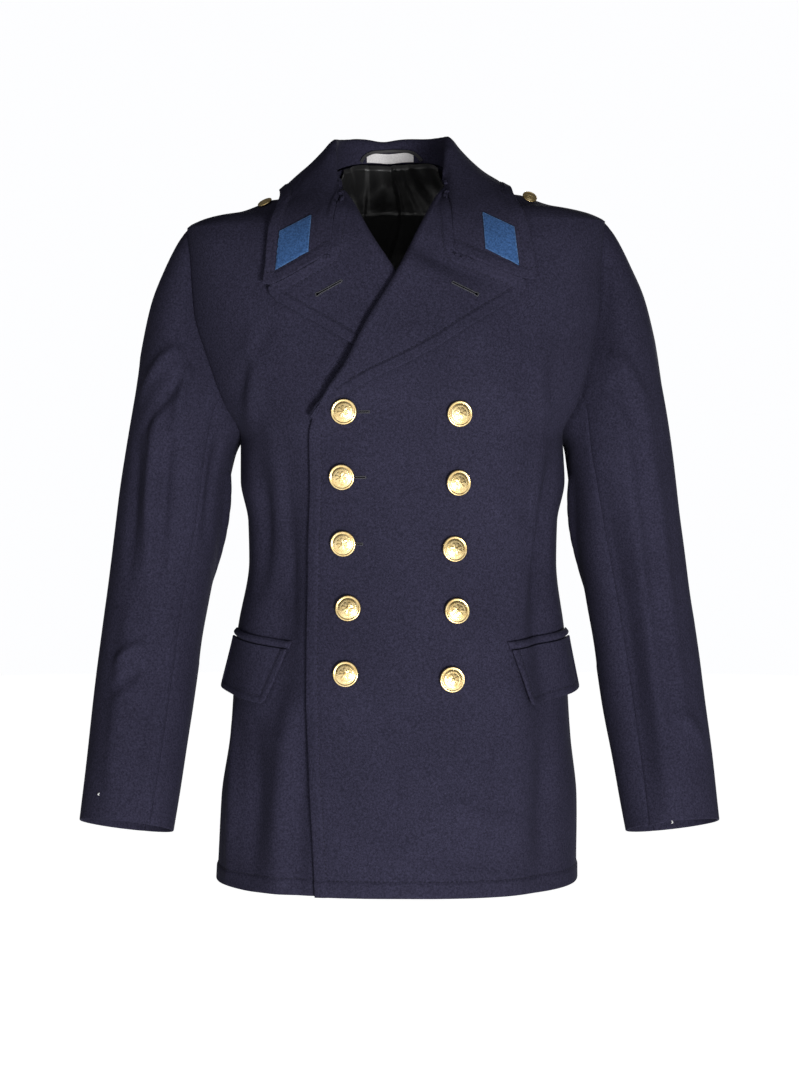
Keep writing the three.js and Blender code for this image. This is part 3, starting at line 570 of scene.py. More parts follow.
WAVES = np.array(
    [
        [0.021, 0.013, 0.007, 0.4, 0.9],
        [-0.034, 0.027, 0.011, 2.1, 0.55],
        [0.055, -0.041, 0.016, 4.0, 0.32],
        [0.047, 0.062, -0.029, 1.2, 0.22],
        [-0.083, 0.071, 0.038, 5.1, 0.13],
        [0.112, 0.096, -0.061, 3.3, 0.08],
    ]
)


def unevenness(points):
    """The slight waviness of thick cloth: a few long waves that never repeat."""
    phase = points @ WAVES[:, :3].T + WAVES[:, 3]
    return np.sin(phase) @ WAVES[:, 4]


def relief(points, kind):
    total = unevenness(points)
    for curve, width, height in FOLDS[kind]:
        total = total + fold_height(points, curve, width, height)
    return total


# ---- The fronts and what lies on them --------------------------------------------------------


def overlap_lift(angle, z):
    x = body_radius(angle, z) * np.sin(np.radians(angle)) - opening_sway(z)
    under_edge = -front_edge(z)
    start = np.minimum(under_edge + mix(100, 50, smooth((z + 130) / 40)), 150)
    full = under_edge + 20
    share = np.where(np.cos(np.radians(angle)) > 0, smooth((start - x) / (start - full)), 0)
    over_front = (CLOTH + 2.1) * (1 - smooth((z + 103) / 40))
    over_lapel = (TWO_PLY + 3.6) * smooth((z - BREAK_Z) / 60) * (1 - smooth((z + 110) / 45))
    return share * (over_front + over_lapel)


def on_cloth(angle, z, out, lifted):
    """A point out from the folded cloth of the body; lifted where the front laps over."""
    lift = overlap_lift(angle, z) if lifted else 0
    return off_body(angle, z, lift + out + relief(on_body(angle, z), "body"))


def on_front(side, x, z, out):
    angle = front_angle(side * x + opening_sway(z), z)
    return on_cloth(angle, z, out, side > 0)


# ---- Meshes ----------------------------------------------------------------------------------


def leaned(points):
    """The slight lean of the whole upper coat towards its right."""
    share = smooth((points[..., 2] + 330) / 200)
    moved = points.copy()
    moved[..., 2] += LEAN * points[..., 0] * share
    return moved


def unleaned(point):
    """The place in the upright form of a point of the coat."""
    share = smooth((point[2] + 330) / 200)
    return np.array([point[0], point[1], point[2] - LEAN * point[0] * share])


def add_mesh(name, points, faces, material):
    """One object from points in millimetres, with its faces as they are given."""
    mesh = bpy.data.meshes.new(name)
    mesh.from_pydata((leaned(np.asarray(points, float)) * MM).tolist(), [], [list(f) for f in faces])
    mesh.polygons.foreach_set("use_smooth", [True] * len(mesh.polygons))
    mesh.update()
    thing = bpy.data.objects.new(name, mesh)
    bpy.context.scene.collection.objects.link(thing)
    mesh.materials.append(material)
    return thing


def grid_normals(grid, facing):
    across = np.gradient(grid, axis=1)
    along = np.gradient(grid, axis=0)
    return unit(np.cross(across, along)) * facing


def grid_faces(rows, columns):
    at = np.arange(rows * columns).reshape(rows, columns)
    quads = np.stack([at[:-1, :-1], at[:-1, 1:], at[1:, 1:], at[1:, :-1]], axis=-1)
    return quads.reshape(-1, 4)


SEAM = 0.9
FOLD = None
EDGE_TURNS = np.radians([25, 50, 75, 88])
DRAW_REACH = 3


def rim_order(rows, columns):
    """The grid's outline as one closed loop of places."""
    first = [(0, j) for j in range(columns)]
    last = [(rows - 1, j) for j in range(columns - 2, -1, -1)]
    right = [(i, columns - 1) for i in range(1, rows)]
    left = [(i, 0) for i in range(rows - 2, 0, -1)]
    order = np.array(first + right + last + left)
    return order[:, 0], order[:, 1]


def rim_directions(grid, normals, radii, thickness):
    """How far the face is drawn in along its rim, and which way and how far its edge swells out."""
    draw = np.zeros_like(grid)
    across = lengths_along(grid)
    down = lengths_along(grid.swapaxes(0, 1)).T
    swell = np.zeros_like(grid)
    size = np.zeros(grid.shape[:2])
    sides = [
        (np.s_[:, 0], np.s_[:, 1], 1, across),
        (np.s_[:, -1], np.s_[:, -2], 1, across[:, -1:] - across),
        (np.s_[0, :], np.s_[1, :], 0, down),
        (np.s_[-1, :], np.s_[-2, :], 0, down[-1:] - down),
    ]
    for (edge, inside, axis, distance), radius in zip(sides, radii):
        tangent = np.gradient(grid[edge], axis=0)
        away = unit(np.cross(tangent, normals[edge]))
        away = away * np.sign(np.sum(away * (grid[edge] - grid[inside]), axis=-1, keepdims=True))
        turn = thickness / 2 if radius is FOLD else radius
        gap = 0 if radius is FOLD else SEAM_GAP / 2
        moved = turn + gap
        share = np.clip(1 - distance / (DRAW_REACH * moved), 0, 1)
        draw += np.expand_dims(away * moved, axis) * share[..., None]
        swell[edge] += away * turn
        size[edge] = np.maximum(size[edge], turn)
    return draw, swell, size


def add_cloth(name, grid, thickness, facing, material, radii=(SEAM, SEAM, SEAM, SEAM)):
    """A cloth wall behind its face, with its four edges rounded: (first column, last column, first
    row, last row), each a radius for a seam or FOLD for a turned edge."""
    normals = grid_normals(grid, facing)
    draw, swell, size = rim_directions(grid, normals, radii, thickness)
    face = grid - draw
    back = face - normals * thickness
    rows, columns = grid.shape[:2]
    i, j = rim_order(rows, columns)
    base, normal, out, radius = face[i, j], normals[i, j], swell[i, j], size[i, j][:, None]
    loops = []
    for turn in EDGE_TURNS:
        loops.append(base + out * np.sin(turn) - normal * radius * (1 - np.cos(turn)))
    for turn in EDGE_TURNS[::-1]:
        depth = thickness - radius * (1 - np.cos(turn))
        loops.append(base + out * np.sin(turn) - normal * depth)
    count = rows * columns
    rim = len(i)
    points = np.concatenate([face.reshape(-1, 3), back.reshape(-1, 3), *loops])
    front = grid_faces(rows, columns)
    behind = front[:, ::-1] + count
    levels = [i * columns + j]
    levels += [2 * count + k * rim + np.arange(rim) for k in range(len(loops))]
    levels += [count + i * columns + j]
    walls = []
    for upper, lower in zip(levels[:-1], levels[1:]):
        walls.append(np.stack([upper, lower, np.roll(lower, -1), np.roll(upper, -1)], axis=-1))
    faces = np.concatenate([front, behind, *walls])
    centre = np.cross(grid[0, 1] - grid[0, 0], grid[1, 0] - grid[0, 0]) @ normals[0, 0]
    if centre < 0:
        faces = faces[:, ::-1]
    return add_mesh(name, points, faces.tolist(), material)


def tree_of(thing):
    """A piece's surface for lines to meet, in millimetres."""
    points = [vertex.co / MM for vertex in thing.data.vertices]
    return BVHTree.FromPolygons(points, [tuple(face.vertices) for face in thing.data.polygons])


def met(tree, start, direction):
    """Where a line from a point first meets a surface, with the surface's normal towards the point."""
    point, normal, _, _ = tree.ray_cast(Vector(start), Vector(direction))
    if point is None:
        return None, None
    if normal.dot(Vector(direction)) > 0:
        normal = -normal
    return np.array(point), np.array(normal)


def spread(total, start, end, count):
    """Distances along lines of the given lengths: fixed ones near both ends, even ones between."""
    total = np.asarray(total, float)[:, None]
    squeeze = np.minimum(1, total / (1.6 * (start[-1] + end[-1])))
    first = np.array(start)[None] * squeeze
    last = total - np.array(end)[None, ::-1] * squeeze
    middle = np.linspace(0, 1, count + 2)[None, 1:-1]
    between = mix(first[:, -1:], last[:, :1], middle)
    return np.concatenate([first, between, last], axis=1)


def lengths_along(lines):
    """Running length along each line of points."""
    steps = np.linalg.norm(np.diff(lines, axis=1), axis=2)
    return np.concatenate([np.zeros((len(lines), 1)), np.cumsum(steps, axis=1)], axis=1)


def shares_at(lines, shares, distances):
    """The shares at which the given distances along each line are reached."""
    run = lengths_along(lines)
    return np.array([np.interp(d, r, shares) for d, r in zip(distances, run)])


STITCH_WIDTH = 1.6
BORDER_HEIGHT = 1.3


def stitched(distance, inset):
    """The relief of a stitched border: thicker cloth out to the edge, and a groove at the thread."""
    groove = -1.2 * np.exp(-(((distance - inset) / STITCH_WIDTH) ** 2))
    border = BORDER_HEIGHT * (1 - smooth((distance - inset + 1.5) / 5))
    return groove + border


def seam_dip(distance, depth=0.9, width=3.0):
    return -depth * np.exp(-((distance / width) ** 2))


def nearest_finder(points):
    """A tree that finds the nearest of the points."""
    tree = kdtree.KDTree(len(points))
    for index, point in enumerate(points):
        tree.insert(Vector(point), index)
    tree.balance()
    return tree


def outline_distance(grid, outline):
    """Distance of each grid point from the nearest point of an outline."""
    tree = nearest_finder(outline)
    flat = [tree.find(Vector(point))[2] for point in grid.reshape(-1, 3)]
    return np.array(flat).reshape(grid.shape[:2])


def resampled(line, pitch):
    """A line of points at an even pitch."""
    run = lengths_along(line[None])[0]
    count = max(2, int(round(run[-1] / pitch)))
    goal = np.linspace(0, run[-1], count + 1)
    return np.stack([np.interp(goal, run, line[:, k]) for k in range(3)], axis=1)


# ---- Materials -------------------------------------------------------------------------------


class Nodes:
    """A material's nodes, added and joined by name."""

    def __init__(self, name):
        self.material = bpy.data.materials.new(name)
        self.material.use_nodes = True
        self.tree = self.material.node_tree
        self.shader = self.tree.nodes["Principled BSDF"]
        self.place = self.add("ShaderNodeTexCoord").outputs["Object"]

    def add(self, kind, **inputs):
        node = self.tree.nodes.new(kind)
        for name, value in inputs.items():
            node.inputs[name.replace("_", " ")].default_value = value
        return node

    def join(self, source, target):
        self.tree.links.new(source, target)

    def set(self, **values):
        for name, value in values.items():
            self.shader.inputs[name.replace("_", " ")].default_value = value

    def noise(self, scale, detail, roughness=0.5, stretch=None):
        node = self.add("ShaderNodeTexNoise", Scale=scale, Detail=detail, Roughness=roughness)
        place = self.place
        if stretch:
            mapping = self.add("ShaderNodeMapping", Scale=stretch)
            self.join(place, mapping.inputs["Vector"])
            place = mapping.outputs["Vector"]
        self.join(place, node.inputs["Vector"])
        return node.outputs["Fac"]

    def ramp(self, factor, low, high, dark, light):
        node = self.add("ShaderNodeValToRGB")
        node.color_ramp.elements[0].position = low
        node.color_ramp.elements[0].color = (*dark, 1)
        node.color_ramp.elements[1].position = high
        node.color_ramp.elements[1].color = (*light, 1)
        self.join(factor, node.inputs["Fac"])
        return node.outputs["Color"]

    def blend(self, kind, factor, first, second):
        node = self.add("ShaderNodeMix")
        node.data_type = "RGBA"
        node.blend_type = kind
        node.inputs["Factor"].default_value = factor
        self.join(first, node.inputs["A"])
        self.join(second, node.inputs["B"])
        return node.outputs["Result"]

    def range(self, factor, low, high):
        node = self.add("ShaderNodeMapRange")
        node.inputs["To Min"].default_value = low
        node.inputs["To Max"].default_value = high
        self.join(factor, node.inputs["Value"])
        return node.outputs["Result"]

    def bump(self, heights):
        """Bumps one on the other, each a factor, a strength and a depth in millimetres."""
        normal = None
        for factor, strength, depth in heights:
            node = self.add("ShaderNodeBump", Strength=strength, Distance=depth * MM)
            self.join(factor, node.inputs["Height"])
            if normal:
                self.join(normal, node.inputs["Normal"])
            normal = node.outputs["Normal"]
        self.join(normal, self.shader.inputs["Normal"])


def grey(value):
    return (value, value, value)


def wool_material(name, dark, light, sheen, tint):
    """Milled wool: fibres of mixed tone under a soft nap."""
    made = Nodes(name)
    fibres = made.noise(1500, 3, 0.65)
    tufts = made.noise(520, 3, 0.6)
    cloudy = made.noise(16, 3, 0.55)
    colour = made.ramp(fibres, 0.33, 0.68, dark, light)
    colour = made.blend("MULTIPLY", 0.9, colour, made.ramp(tufts, 0.36, 0.64, grey(0.5), grey(1.0)))
    colour = made.blend("MULTIPLY", 0.8, colour, made.ramp(cloudy, 0.3, 0.7, grey(0.82), grey(1.0)))
    made.join(colour, made.shader.inputs["Base Color"])
    made.join(made.range(tufts, 0.86, 0.98), made.shader.inputs["Roughness"])
    made.bump([(tufts, 0.3, 0.3), (fibres, 0.3, 0.2)])
    made.set(Specular_IOR_Level=0.04)
    made.set(Sheen_Weight=sheen, Sheen_Roughness=0.5, Sheen_Tint=(*tint, 1))
    return made.material


WOOL = wool_material(
    "navy_wool", (0.0205, 0.0195, 0.0365), (0.0445, 0.0415, 0.0745), 0.012, (0.62, 0.64, 0.9)
)
FELT_BLUE = wool_material("blue_felt", (0.029, 0.08, 0.212), (0.057, 0.135, 0.32), 0.08, (0.7, 0.8, 1))
# Near-black cloth for the cords along the buttonhole slits: painted shade of the cut openings.
SLIT_SHADE_BLACK = wool_material(
    "slit_shadow", (0.001, 0.001, 0.0012), (0.003, 0.003, 0.0035), 0, (0.6, 0.6, 0.8)
)
EDGING_BLUE = wool_material("light_blue_cord", (0.05, 0.12, 0.27), (0.09, 0.19, 0.38), 0.1, (0.8, 0.9, 1))
THREAD = wool_material("navy_thread", (0.016, 0.015, 0.026), (0.03, 0.029, 0.046), 0.1, (0.6, 0.6, 0.8))


def thread_material(name, dark, light):
    made = Nodes(name)
    twist = made.noise(2600, 2, 0.5)
    made.join(made.ramp(twist, 0.3, 0.7, dark, light), made.shader.inputs["Base Color"])
    made.bump([(twist, 0.6, 0.12)])
    made.set(Roughness=0.62, Specular_IOR_Level=0.4, Sheen_Weight=0.15)
    return made.material


HOLE_THREAD = thread_material("buttonhole_twist", (0.014, 0.014, 0.02), (0.042, 0.042, 0.052))
WHITE_THREAD = thread_material("tacking_thread", (0.6, 0.6, 0.6), (0.85, 0.85, 0.84))
LOOP_BRAID = thread_material("hanger_braid", (0.008, 0.008, 0.009), (0.03, 0.03, 0.033))


def satin_material(name, dark, light, roughness, weave):
    """Woven satin: fine threads that run one way."""
    made = Nodes(name)
    threads = made.noise(weave, 2, 0.5, stretch=(1, 1, 0.12))
    cross = made.noise(weave * 0.7, 2, 0.5, stretch=(0.15, 1, 1))
    soft = made.noise(30, 3, 0.5)
    colour = made.ramp(threads, 0.3, 0.7, dark, light)
    colour = made.blend("MULTIPLY", 0.5, colour, made.ramp(soft, 0.3, 0.7, grey(0.75), grey(1.0)))
    made.join(colour, made.shader.inputs["Base Color"])
    made.join(made.range(cross, roughness - 0.05, roughness + 0.1), made.shader.inputs["Roughness"])
    made.bump([(threads, 0.35, 0.08), (cross, 0.25, 0.06)])
    made.set(Specular_IOR_Level=0.6, Anisotropic=0.5, Sheen_Weight=0.05)
    return made.material


BLACK_SATIN = satin_material("black_satin", (0.005, 0.005, 0.0053), (0.0145, 0.0145, 0.015), 0.42, 1900)
WHITE_SATIN = satin_material("white_satin", (0.62, 0.60, 0.60), (0.80, 0.78, 0.78), 0.5, 1700)


def metal_material():
    """Gilt metal, paler and browner in random patches, with a fine grain in its bump."""
    made = Nodes("gilt_metal")
    worn = made.noise(260, 4, 0.6)
    grain = made.noise(2400, 2, 0.6)
    colour = made.ramp(worn, 0.25, 0.7, (0.74, 0.50, 0.17), (1.0, 0.80, 0.43))
    made.join(colour, made.shader.inputs["Base Color"])
    made.join(made.range(worn, 0.20, 0.36), made.shader.inputs["Roughness"])
    made.bump([(grain, 0.25, 0.05)])
    made.set(Metallic=1.0, Coat_Weight=0.25, Coat_Roughness=0.12)
    return made.material


GILT = metal_material()

# ---- Body panels -----------------------------------------------------------------------------

# How far apart a panel's points lie, and the lengths that its columns and armhole rows are counted for.
FRONT_PITCH, FRONT_WIDTH = 4.4, 250
BACK_PITCH, BACK_WIDTH = 5.3, 330
ARMHOLE_RUN = 250
FRONT_STITCH = 12.5
HEM_STITCH = 17.5
FRONT_EDGE_STEPS = [0, 2, 4.5, 7.5, 10, 11.4, 12.1, 12.8, 13.6, 15, 18]
SEAM_STEPS = [0, 1.6, 3.2, 5.5, 8.5]
HEM_STEPS = [0, 0.9, 2.2, 4.5, 8, 12, 14.5, 16.3, 17.1, 17.9, 18.7, 20.5, 24]
DENSE = 260


def panel_rows(pitch):
    """Heights of the rows at the front or centre back, and at the side, with the armhole's turns."""
    first = HEM + np.array(HEM_STEPS)
    skirt = np.linspace(first[-1], ARMPIT, int((ARMPIT - first[-1]) / pitch) + 1)[1:]
    turns = np.linspace(180, 0, int(ARMHOLE_RUN / pitch))[1:]
    shoulder = np.linspace(SHOULDER_TIP, NECK_POINT, 400)
    run = lengths_along(on_body(np.full(400, 90.0), shoulder)[None])[0]
    steps = int(run[-1] / pitch)
    top = np.interp(np.linspace(0, run[-1], steps + 1)[1:], run, shoulder)
    side_z = np.concatenate([first, skirt, armhole_height(turns), top])
    middle = np.linspace(ARMPIT, SHOULDER_TIP, len(turns) + 1)[1:]
    upper = np.linspace(SHOULDER_TIP, NECK_POINT, len(top) + 1)[1:]
    middle_z = np.concatenate([first, skirt, middle, upper])
    turn = np.full(len(side_z), np.nan)
    start = len(first) + len(skirt)
    turn[start : start + len(turns)] = turns
    return middle_z, side_z, turn


def outer_angles(side_z, turn, behind):
    at = armhole_angle(np.nan_to_num(360 - turn if behind else turn))
    low = mix(97, armhole_angle(np.array(180.0)), smooth((side_z + 400) / 120))
    plain = np.where(side_z > SHOULDER_TIP, 90, low)
    return np.where(np.isnan(turn), plain, at)


def inner_angles(side, z):
    setback = GORGE_SETBACK * smooth((z + 42) / 25)
    edge = side * front_angle(side * (front_edge(z) + setback) + opening_sway(z), z)
    neck = mix(GORGE_ANGLE, NECK_FRONT_ANGLE, (z - GORGE_Z) / (NECK_POINT - GORGE_Z))
    return np.where(z <= GORGE_Z, edge, neck)


def panel(side, behind, pitch, width):
    """The face of a body panel with its folds, and each point's distance from its inner edge and from
    the hem. width is the panel's usual width."""
    middle_z, side_z, turn = panel_rows(pitch)
    outer = outer_angles(side_z, turn, behind)
    inner = np.full(len(outer), 180.0) if behind else inner_angles(side, middle_z)
    lifted = side > 0 and not behind

    def places(shares):
        angle = side * mix(inner[:, None], outer[:, None], shares)
        z = row_height(mix(middle_z[:, None], side_z[:, None], shares), angle)
        if side < 0 and not behind:
            z = z + UNDER_HEM_RISE * (1 - shares) ** 2 * (1 - smooth((z - HEM) / HEM_REACH))
        return angle, z

    shares = np.linspace(0, 1, DENSE)
    angle, z = places(np.tile(shares, (len(outer), 1)))
    lines = on_body(angle, z)
    run = lengths_along(lines)
    start = SEAM_STEPS if behind else FRONT_EDGE_STEPS
    distances = spread(run[:, -1], start, SEAM_STEPS, int(width / pitch))
    angle, z = places(shares_at(lines, shares, distances))
    to_outer = run[:, -1:] - distances
    to_hem = np.broadcast_to((middle_z - HEM)[:, None], z.shape)
    out = stitched(to_hem, HEM_STITCH)
    out += seam_dip(to_outer) * smooth(to_hem / 20)
    if behind:
        out += seam_dip(distances) * smooth(to_hem / 20)
    else:
        out += stitched(distances, FRONT_STITCH) * (1 - smooth((z - BREAK_Z) / 12))
    return on_cloth(angle, z, out, lifted), distances, to_hem


STITCH_LINES = []


def note_stitches(grid, facing, field, level, axis, where):
    """Keeps the line on which a distance field reaches a level, for the thread laid there later."""
    normals = grid_normals(grid, facing)
    if axis == 0:
        grid, normals, field = grid.swapaxes(0, 1), normals.swapaxes(0, 1), field.T
        where = where.T
    line = []
    for points, outward, values, use in zip(grid, normals, field, where):
        over = np.where(np.diff(np.sign(values - level)) != 0)[0]
        if len(over) == 0 or not use[over[0]]:
            continue
        k = over[0]
        share = (level - values[k]) / (values[k + 1] - values[k])
        line.append((mix(points[k], points[k + 1], share), mix(outward[k], outward[k + 1], share)))
    if len(line) > 3:
        STITCH_LINES.append(line)


CLOTH_PIECES = {}

for name, side in SIDES:
    grid, to_edge, to_hem = panel(side, False, FRONT_PITCH, FRONT_WIDTH)
    piece = add_cloth(f"cloth_front_{name}", grid, CLOTH, side, WOOL, (FOLD, SEAM, FOLD, SEAM))
    CLOTH_PIECES[f"front_{name}"] = (piece, grid)
    note_stitches(grid, side, to_hem, HEM_STITCH, 0, to_edge > FRONT_STITCH)
    if side > 0:
        below_break = (to_hem > HEM_STITCH) & (grid[..., 2] < BREAK_Z)
        note_stitches(grid, side, to_edge, FRONT_STITCH, 1, below_break)
    grid, _, to_hem = panel(side, True, BACK_PITCH, BACK_WIDTH)
    piece = add_cloth(f"cloth_back_{name}", grid, CLOTH, -side, WOOL, (SEAM, SEAM, FOLD, SEAM))
    CLOTH_PIECES[f"back_{name}"] = (piece, grid)
    note_stitches(grid, -side, to_hem, HEM_STITCH, 0, np.ones(to_hem.shape, bool))

# ---- Sleeves ---------------------------------------------------------------------------------

# Degrees of the columns beside a sleeve's seams, and the degrees between the rest.
SLEEVE_EDGE_TURNS = [0, 1.2, 2.6, 4.4, 7]
SLEEVE_TURN_PITCH = 3.0
SLEEVE_ROWS = 140
CAP_RINGS = [0, 0.03, 0.07, 0.13]
CUFF_RINGS = [0.05, 0.025, 0.01, 0]
SEWN_SINK = 0.6
# The sleeve's seam allowance behind the armhole's edge: reach under the panel and depth below it.
ALLOWANCE = [[5.5, 2.7], [3.5, 2.6], [1.8, 2.4], [0.7, 1.8], [0.15, 0.9]]
ARMHOLES = {}
for name, side in SIDES:
    edges = [resampled(CLOTH_PIECES[f"{part}_{name}"][1][:, -1], 0.4) for part in ("front", "back")]
    ARMHOLES[side] = nearest_finder(np.concatenate(edges))


def sleeve_grid(side, start, end):
    edge = np.array(SLEEVE_EDGE_TURNS)
    count = int((end - start - 2 * edge[-1]) / SLEEVE_TURN_PITCH) + 1
    middle = np.linspace(start + edge[-1], end - edge[-1], count)
    turns = np.concatenate([start + edge[:-1], middle, end - edge[:-1][::-1]])
    middle = np.linspace(0.2, LAST_RING - 0.09, SLEEVE_ROWS)
    rings = np.concatenate([CAP_RINGS, middle, LAST_RING - np.array(CUFF_RINGS)])
    turn, ring = np.meshgrid(turns, rings)
    form = sleeve_point(side, turn, ring)
    normal = sleeve_normal(side, turn, ring)
    across = np.minimum(turn - start, end - turn) * 1.15
    down = ring * 42
    free = smooth(ring / 0.8)
    out = relief(form, side) + seam_dip(down, 1.0, 3.0)
    out += 1.1 * np.exp(-(((down - 9) / 7) ** 2)) * smooth(np.cos(np.radians(turn)) + 0.3)
    out = out * free + seam_dip(across, 0.8, 2.2) * smooth(down / 6)
    sewn = np.array([ARMHOLES[side].find(Vector(point))[0] for point in form[0]]) - form[0]
    cloth = form + normal * out[..., None] + sewn * (1 - free)[..., None]
    inwards = -body_normal(side * armhole_angle(turns), armhole_height(turns))
    cloth = cloth + inwards * (SEWN_SINK * np.exp(-((down / 1.3) ** 2)))[..., None]
    under = np.cross(inwards, np.gradient(cloth[0], axis=0))
    under = unit(under * np.sum(under * (cloth[0] - cloth[8]), axis=-1, keepdims=True))
    allowance = [cloth[0] + inwards * depth + under * reach for reach, depth in ALLOWANCE]
    return np.concatenate([np.array(allowance), cloth])


for name, side in SIDES:
    for part, start, end in [
        ("sleeve_top", BACK_SEAM - 360, FRONT_SEAM),
        ("sleeve_under", FRONT_SEAM, BACK_SEAM),
    ]:
        grid = sleeve_grid(side, start, end)
        radii = (SEAM, SEAM, SEAM, FOLD)
        piece = add_cloth(f"cloth_{part}_{name}", grid, CLOTH, side, WOOL, radii)
        CLOTH_PIECES[f"{part}_{name}"] = (piece, grid)

# ---- Collar ----------------------------------------------------------------------------------

BORDER_STITCH = 11.5


def off_shoulders(angle, z, free):
    turn = np.radians(angle)
    normal = body_normal(angle, z)
    outward = normal[..., 0] * np.sin(turn) - normal[..., 1] * np.cos(turn)
    room = COLLAR_ROOM * (1 - smooth((z - NECK_POINT) / 10))
    bed = body_radius(angle, z)
    least = bed + room / np.maximum(outward, LEVEL_SHARE)
    radius = (free + least + np.hypot(free - least, 3)) / 2
    lift = np.maximum(0, room - (radius - bed) * outward)
    return around(angle, z, radius) + normal * lift[..., None]


def fall_point(side, share, reach):
    end = 1 - smooth(share / COLLAR_END_FADE)
    plain_angle = mix(COLLAR["crestAngle"][0], COLLAR["edgeAngle"][0], reach)
    end_angle = collar_end["angle"](reach) - plain_angle
    end_z = collar_end["z"](reach) - mix(COLLAR["crestZ"][0], COLLAR["edgeZ"][0], reach)
    angle = mix(collar["crestAngle"](share), collar["edgeAngle"](share), reach) + end * end_angle
    z = mix(collar["crestZ"](share), collar["edgeZ"](share), reach) + end * end_z
    sway = end * mix(COLLAR_SWAY_GORGE, COLLAR_SWAY_CORNER, smooth(2 * reach - 1))
    straight = mix(collar["crestR"](share) + CREST_SPREAD, collar["edgeR"](share), reach)
    hollow = FALL_HOLLOW * (1 - smooth(1 - share / COLLAR_END_FADE))
    free = straight - 4 * hollow * reach * (1 - reach)
    return off_shoulders(side * angle + sway, z, free)


FALL_REACHES = [0.12, 0.25, 0.4, 0.5, 0.67, 0.84, 0.93, 1]


def collar_controls(side, share):
    """The points that the collar's section passes through, from neck seam to outer edge."""
    end = 1 - smooth(share / COLLAR_END_FADE)
    neck_angle = side * collar["neckAngle"](share)
    neck_z = neck_height(neck_angle) + mix(1.8, 7.5, end)
    neck = around(neck_angle, neck_z, body_radius(neck_angle, neck_z) - CLOTH - 1.6)
    crest_angle = side * collar["crestAngle"](share) + COLLAR_SWAY_GORGE * end
    crest = around(crest_angle, collar["crestZ"](share), collar["crestR"](share))
    neck = mix(neck, mix(crest, neck, 0.35), (1 - smooth(share / 0.1))[:, None])
    start = fall_point(side, share, np.full_like(share, FALL_REACHES[0]))
    up = unit(crest - neck + (start - neck) * 0.2)
    out = start - neck
    out = unit(out - up * np.sum(out * up, axis=-1, keepdims=True))
    height = np.sum((crest - neck) * up, axis=-1, keepdims=True)
    size = mix(0.3, 1, smooth((height - 6) / 18))
    inner = crest - out * 4.2 * size
    inner = inner - up * np.minimum(CREST_DROP, 0.5 * height)
    outer = crest + out * 4.6 * size - up * 2.6 * size
    fall = [fall_point(side, share, np.full_like(share, reach)) for reach in FALL_REACHES]
    return np.stack([neck, mix(neck, inner, 0.5), inner, crest, outer, *fall], axis=1)


def spline(controls, steps):
    """A smooth line through each row of controls, which keeps to their spacing."""
    gap = np.linalg.norm(np.diff(controls, axis=1), axis=2)
    knots = np.concatenate([np.zeros((len(controls), 1)), np.cumsum(np.sqrt(gap), axis=1)], axis=1)
    lines = []
    for row, knot in zip(controls, knots):
        fine = [np.linspace(a, b, steps, endpoint=False) for a, b in zip(knot[:-1], knot[1:])]
        fine = np.concatenate([*fine, knot[-1:]])
        tangent = np.gradient(row, knot, axis=0)
        k = np.clip(np.searchsorted(knot, fine, side="right") - 1, 0, len(knot) - 2)
        h = (knot[k + 1] - knot[k])[:, None]
        t = (fine - knot[k])[:, None] / h
        lines.append(cubic(t, h, row[k], row[k + 1], tangent[k], tangent[k + 1]))
    return np.array(lines)


COLLAR_ROWS = 190
# Away from its ends, the collar is evened out in passes, by the mean of this many rows on each side.
COLLAR_PASSES = 4
COLLAR_REACH = 9
COLLAR_EDGE_STEPS = [0, 1.4, 3, 5, 7.5, 9.3, 10.4, 11.1, 11.9, 12.8, 14.4, 17]


def collar_half(side):
    share = np.arange(COLLAR_ROWS + 1) / COLLAR_ROWS
    controls = collar_controls(side, share)
    lines = spline(controls, 14)
    run = lengths_along(lines)
    distances = spread(run[:, -1], [0, 2, 5], COLLAR_EDGE_STEPS, 46)
    places = np.linspace(0, 1, lines.shape[1])
    at = shares_at(lines, places, distances)
    return np.stack(
        [[np.interp(a, places, line[:, k]) for a, line in zip(at, lines)] for k in range(3)], axis=-1
    )


halves = [collar_half(1), collar_half(-1)[::-1][1:]]
collar_grid = np.concatenate(halves)
from_end = np.minimum(np.arange(len(collar_grid)), np.arange(len(collar_grid))[::-1])
clear_of_end = smooth((from_end - COLLAR_REACH) / 14)[:, None, None]
shifts = range(-COLLAR_REACH, COLLAR_REACH + 1)
for _ in range(COLLAR_PASSES):
    even = sum(np.roll(collar_grid, shift, axis=0) for shift in shifts) / len(shifts)
    collar_grid = mix(collar_grid, even, clear_of_end)
    clear_of_end = clear_of_end * smooth((collar_grid[..., 2:] - 24) / 8)
COLLAR_WAVE = 0.9
CREST_DIP = 2.6
crest_dip = np.exp(-(((collar_grid[..., 0] + 15) / 13) ** 2)) * smooth((collar_grid[..., 2] - 18) / 22)
collar_grid[..., 2] -= CREST_DIP * crest_dip * smooth(collar_grid[..., 1] / 20)
collar_normals = grid_normals(collar_grid, 1)
collar_grid = collar_grid + collar_normals * (COLLAR_WAVE * unevenness(collar_grid * 1.6))[..., None]
outer_line = collar_grid[:, -1]
ends = [row[row[:, 2] < NOTCH_Z] for row in (collar_grid[0], collar_grid[-1])]
to_outer = outline_distance(collar_grid, resampled(outer_line, 1.0))
to_left_end = outline_distance(collar_grid, resampled(ends[0], 1.0))
to_right_end = outline_distance(collar_grid, resampled(ends[1], 1.0))
to_end = np.minimum(to_left_end, to_right_end)
to_rim = np.minimum(to_outer, to_end)
collar_grid = collar_grid + collar_normals * stitched(to_rim, BORDER_STITCH)[..., None]
piece = add_cloth("cloth_collar", collar_grid, TWO_PLY, 1, WOOL, (SEAM, FOLD, FOLD, FOLD))
CLOTH_PIECES["collar"] = (piece, collar_grid)
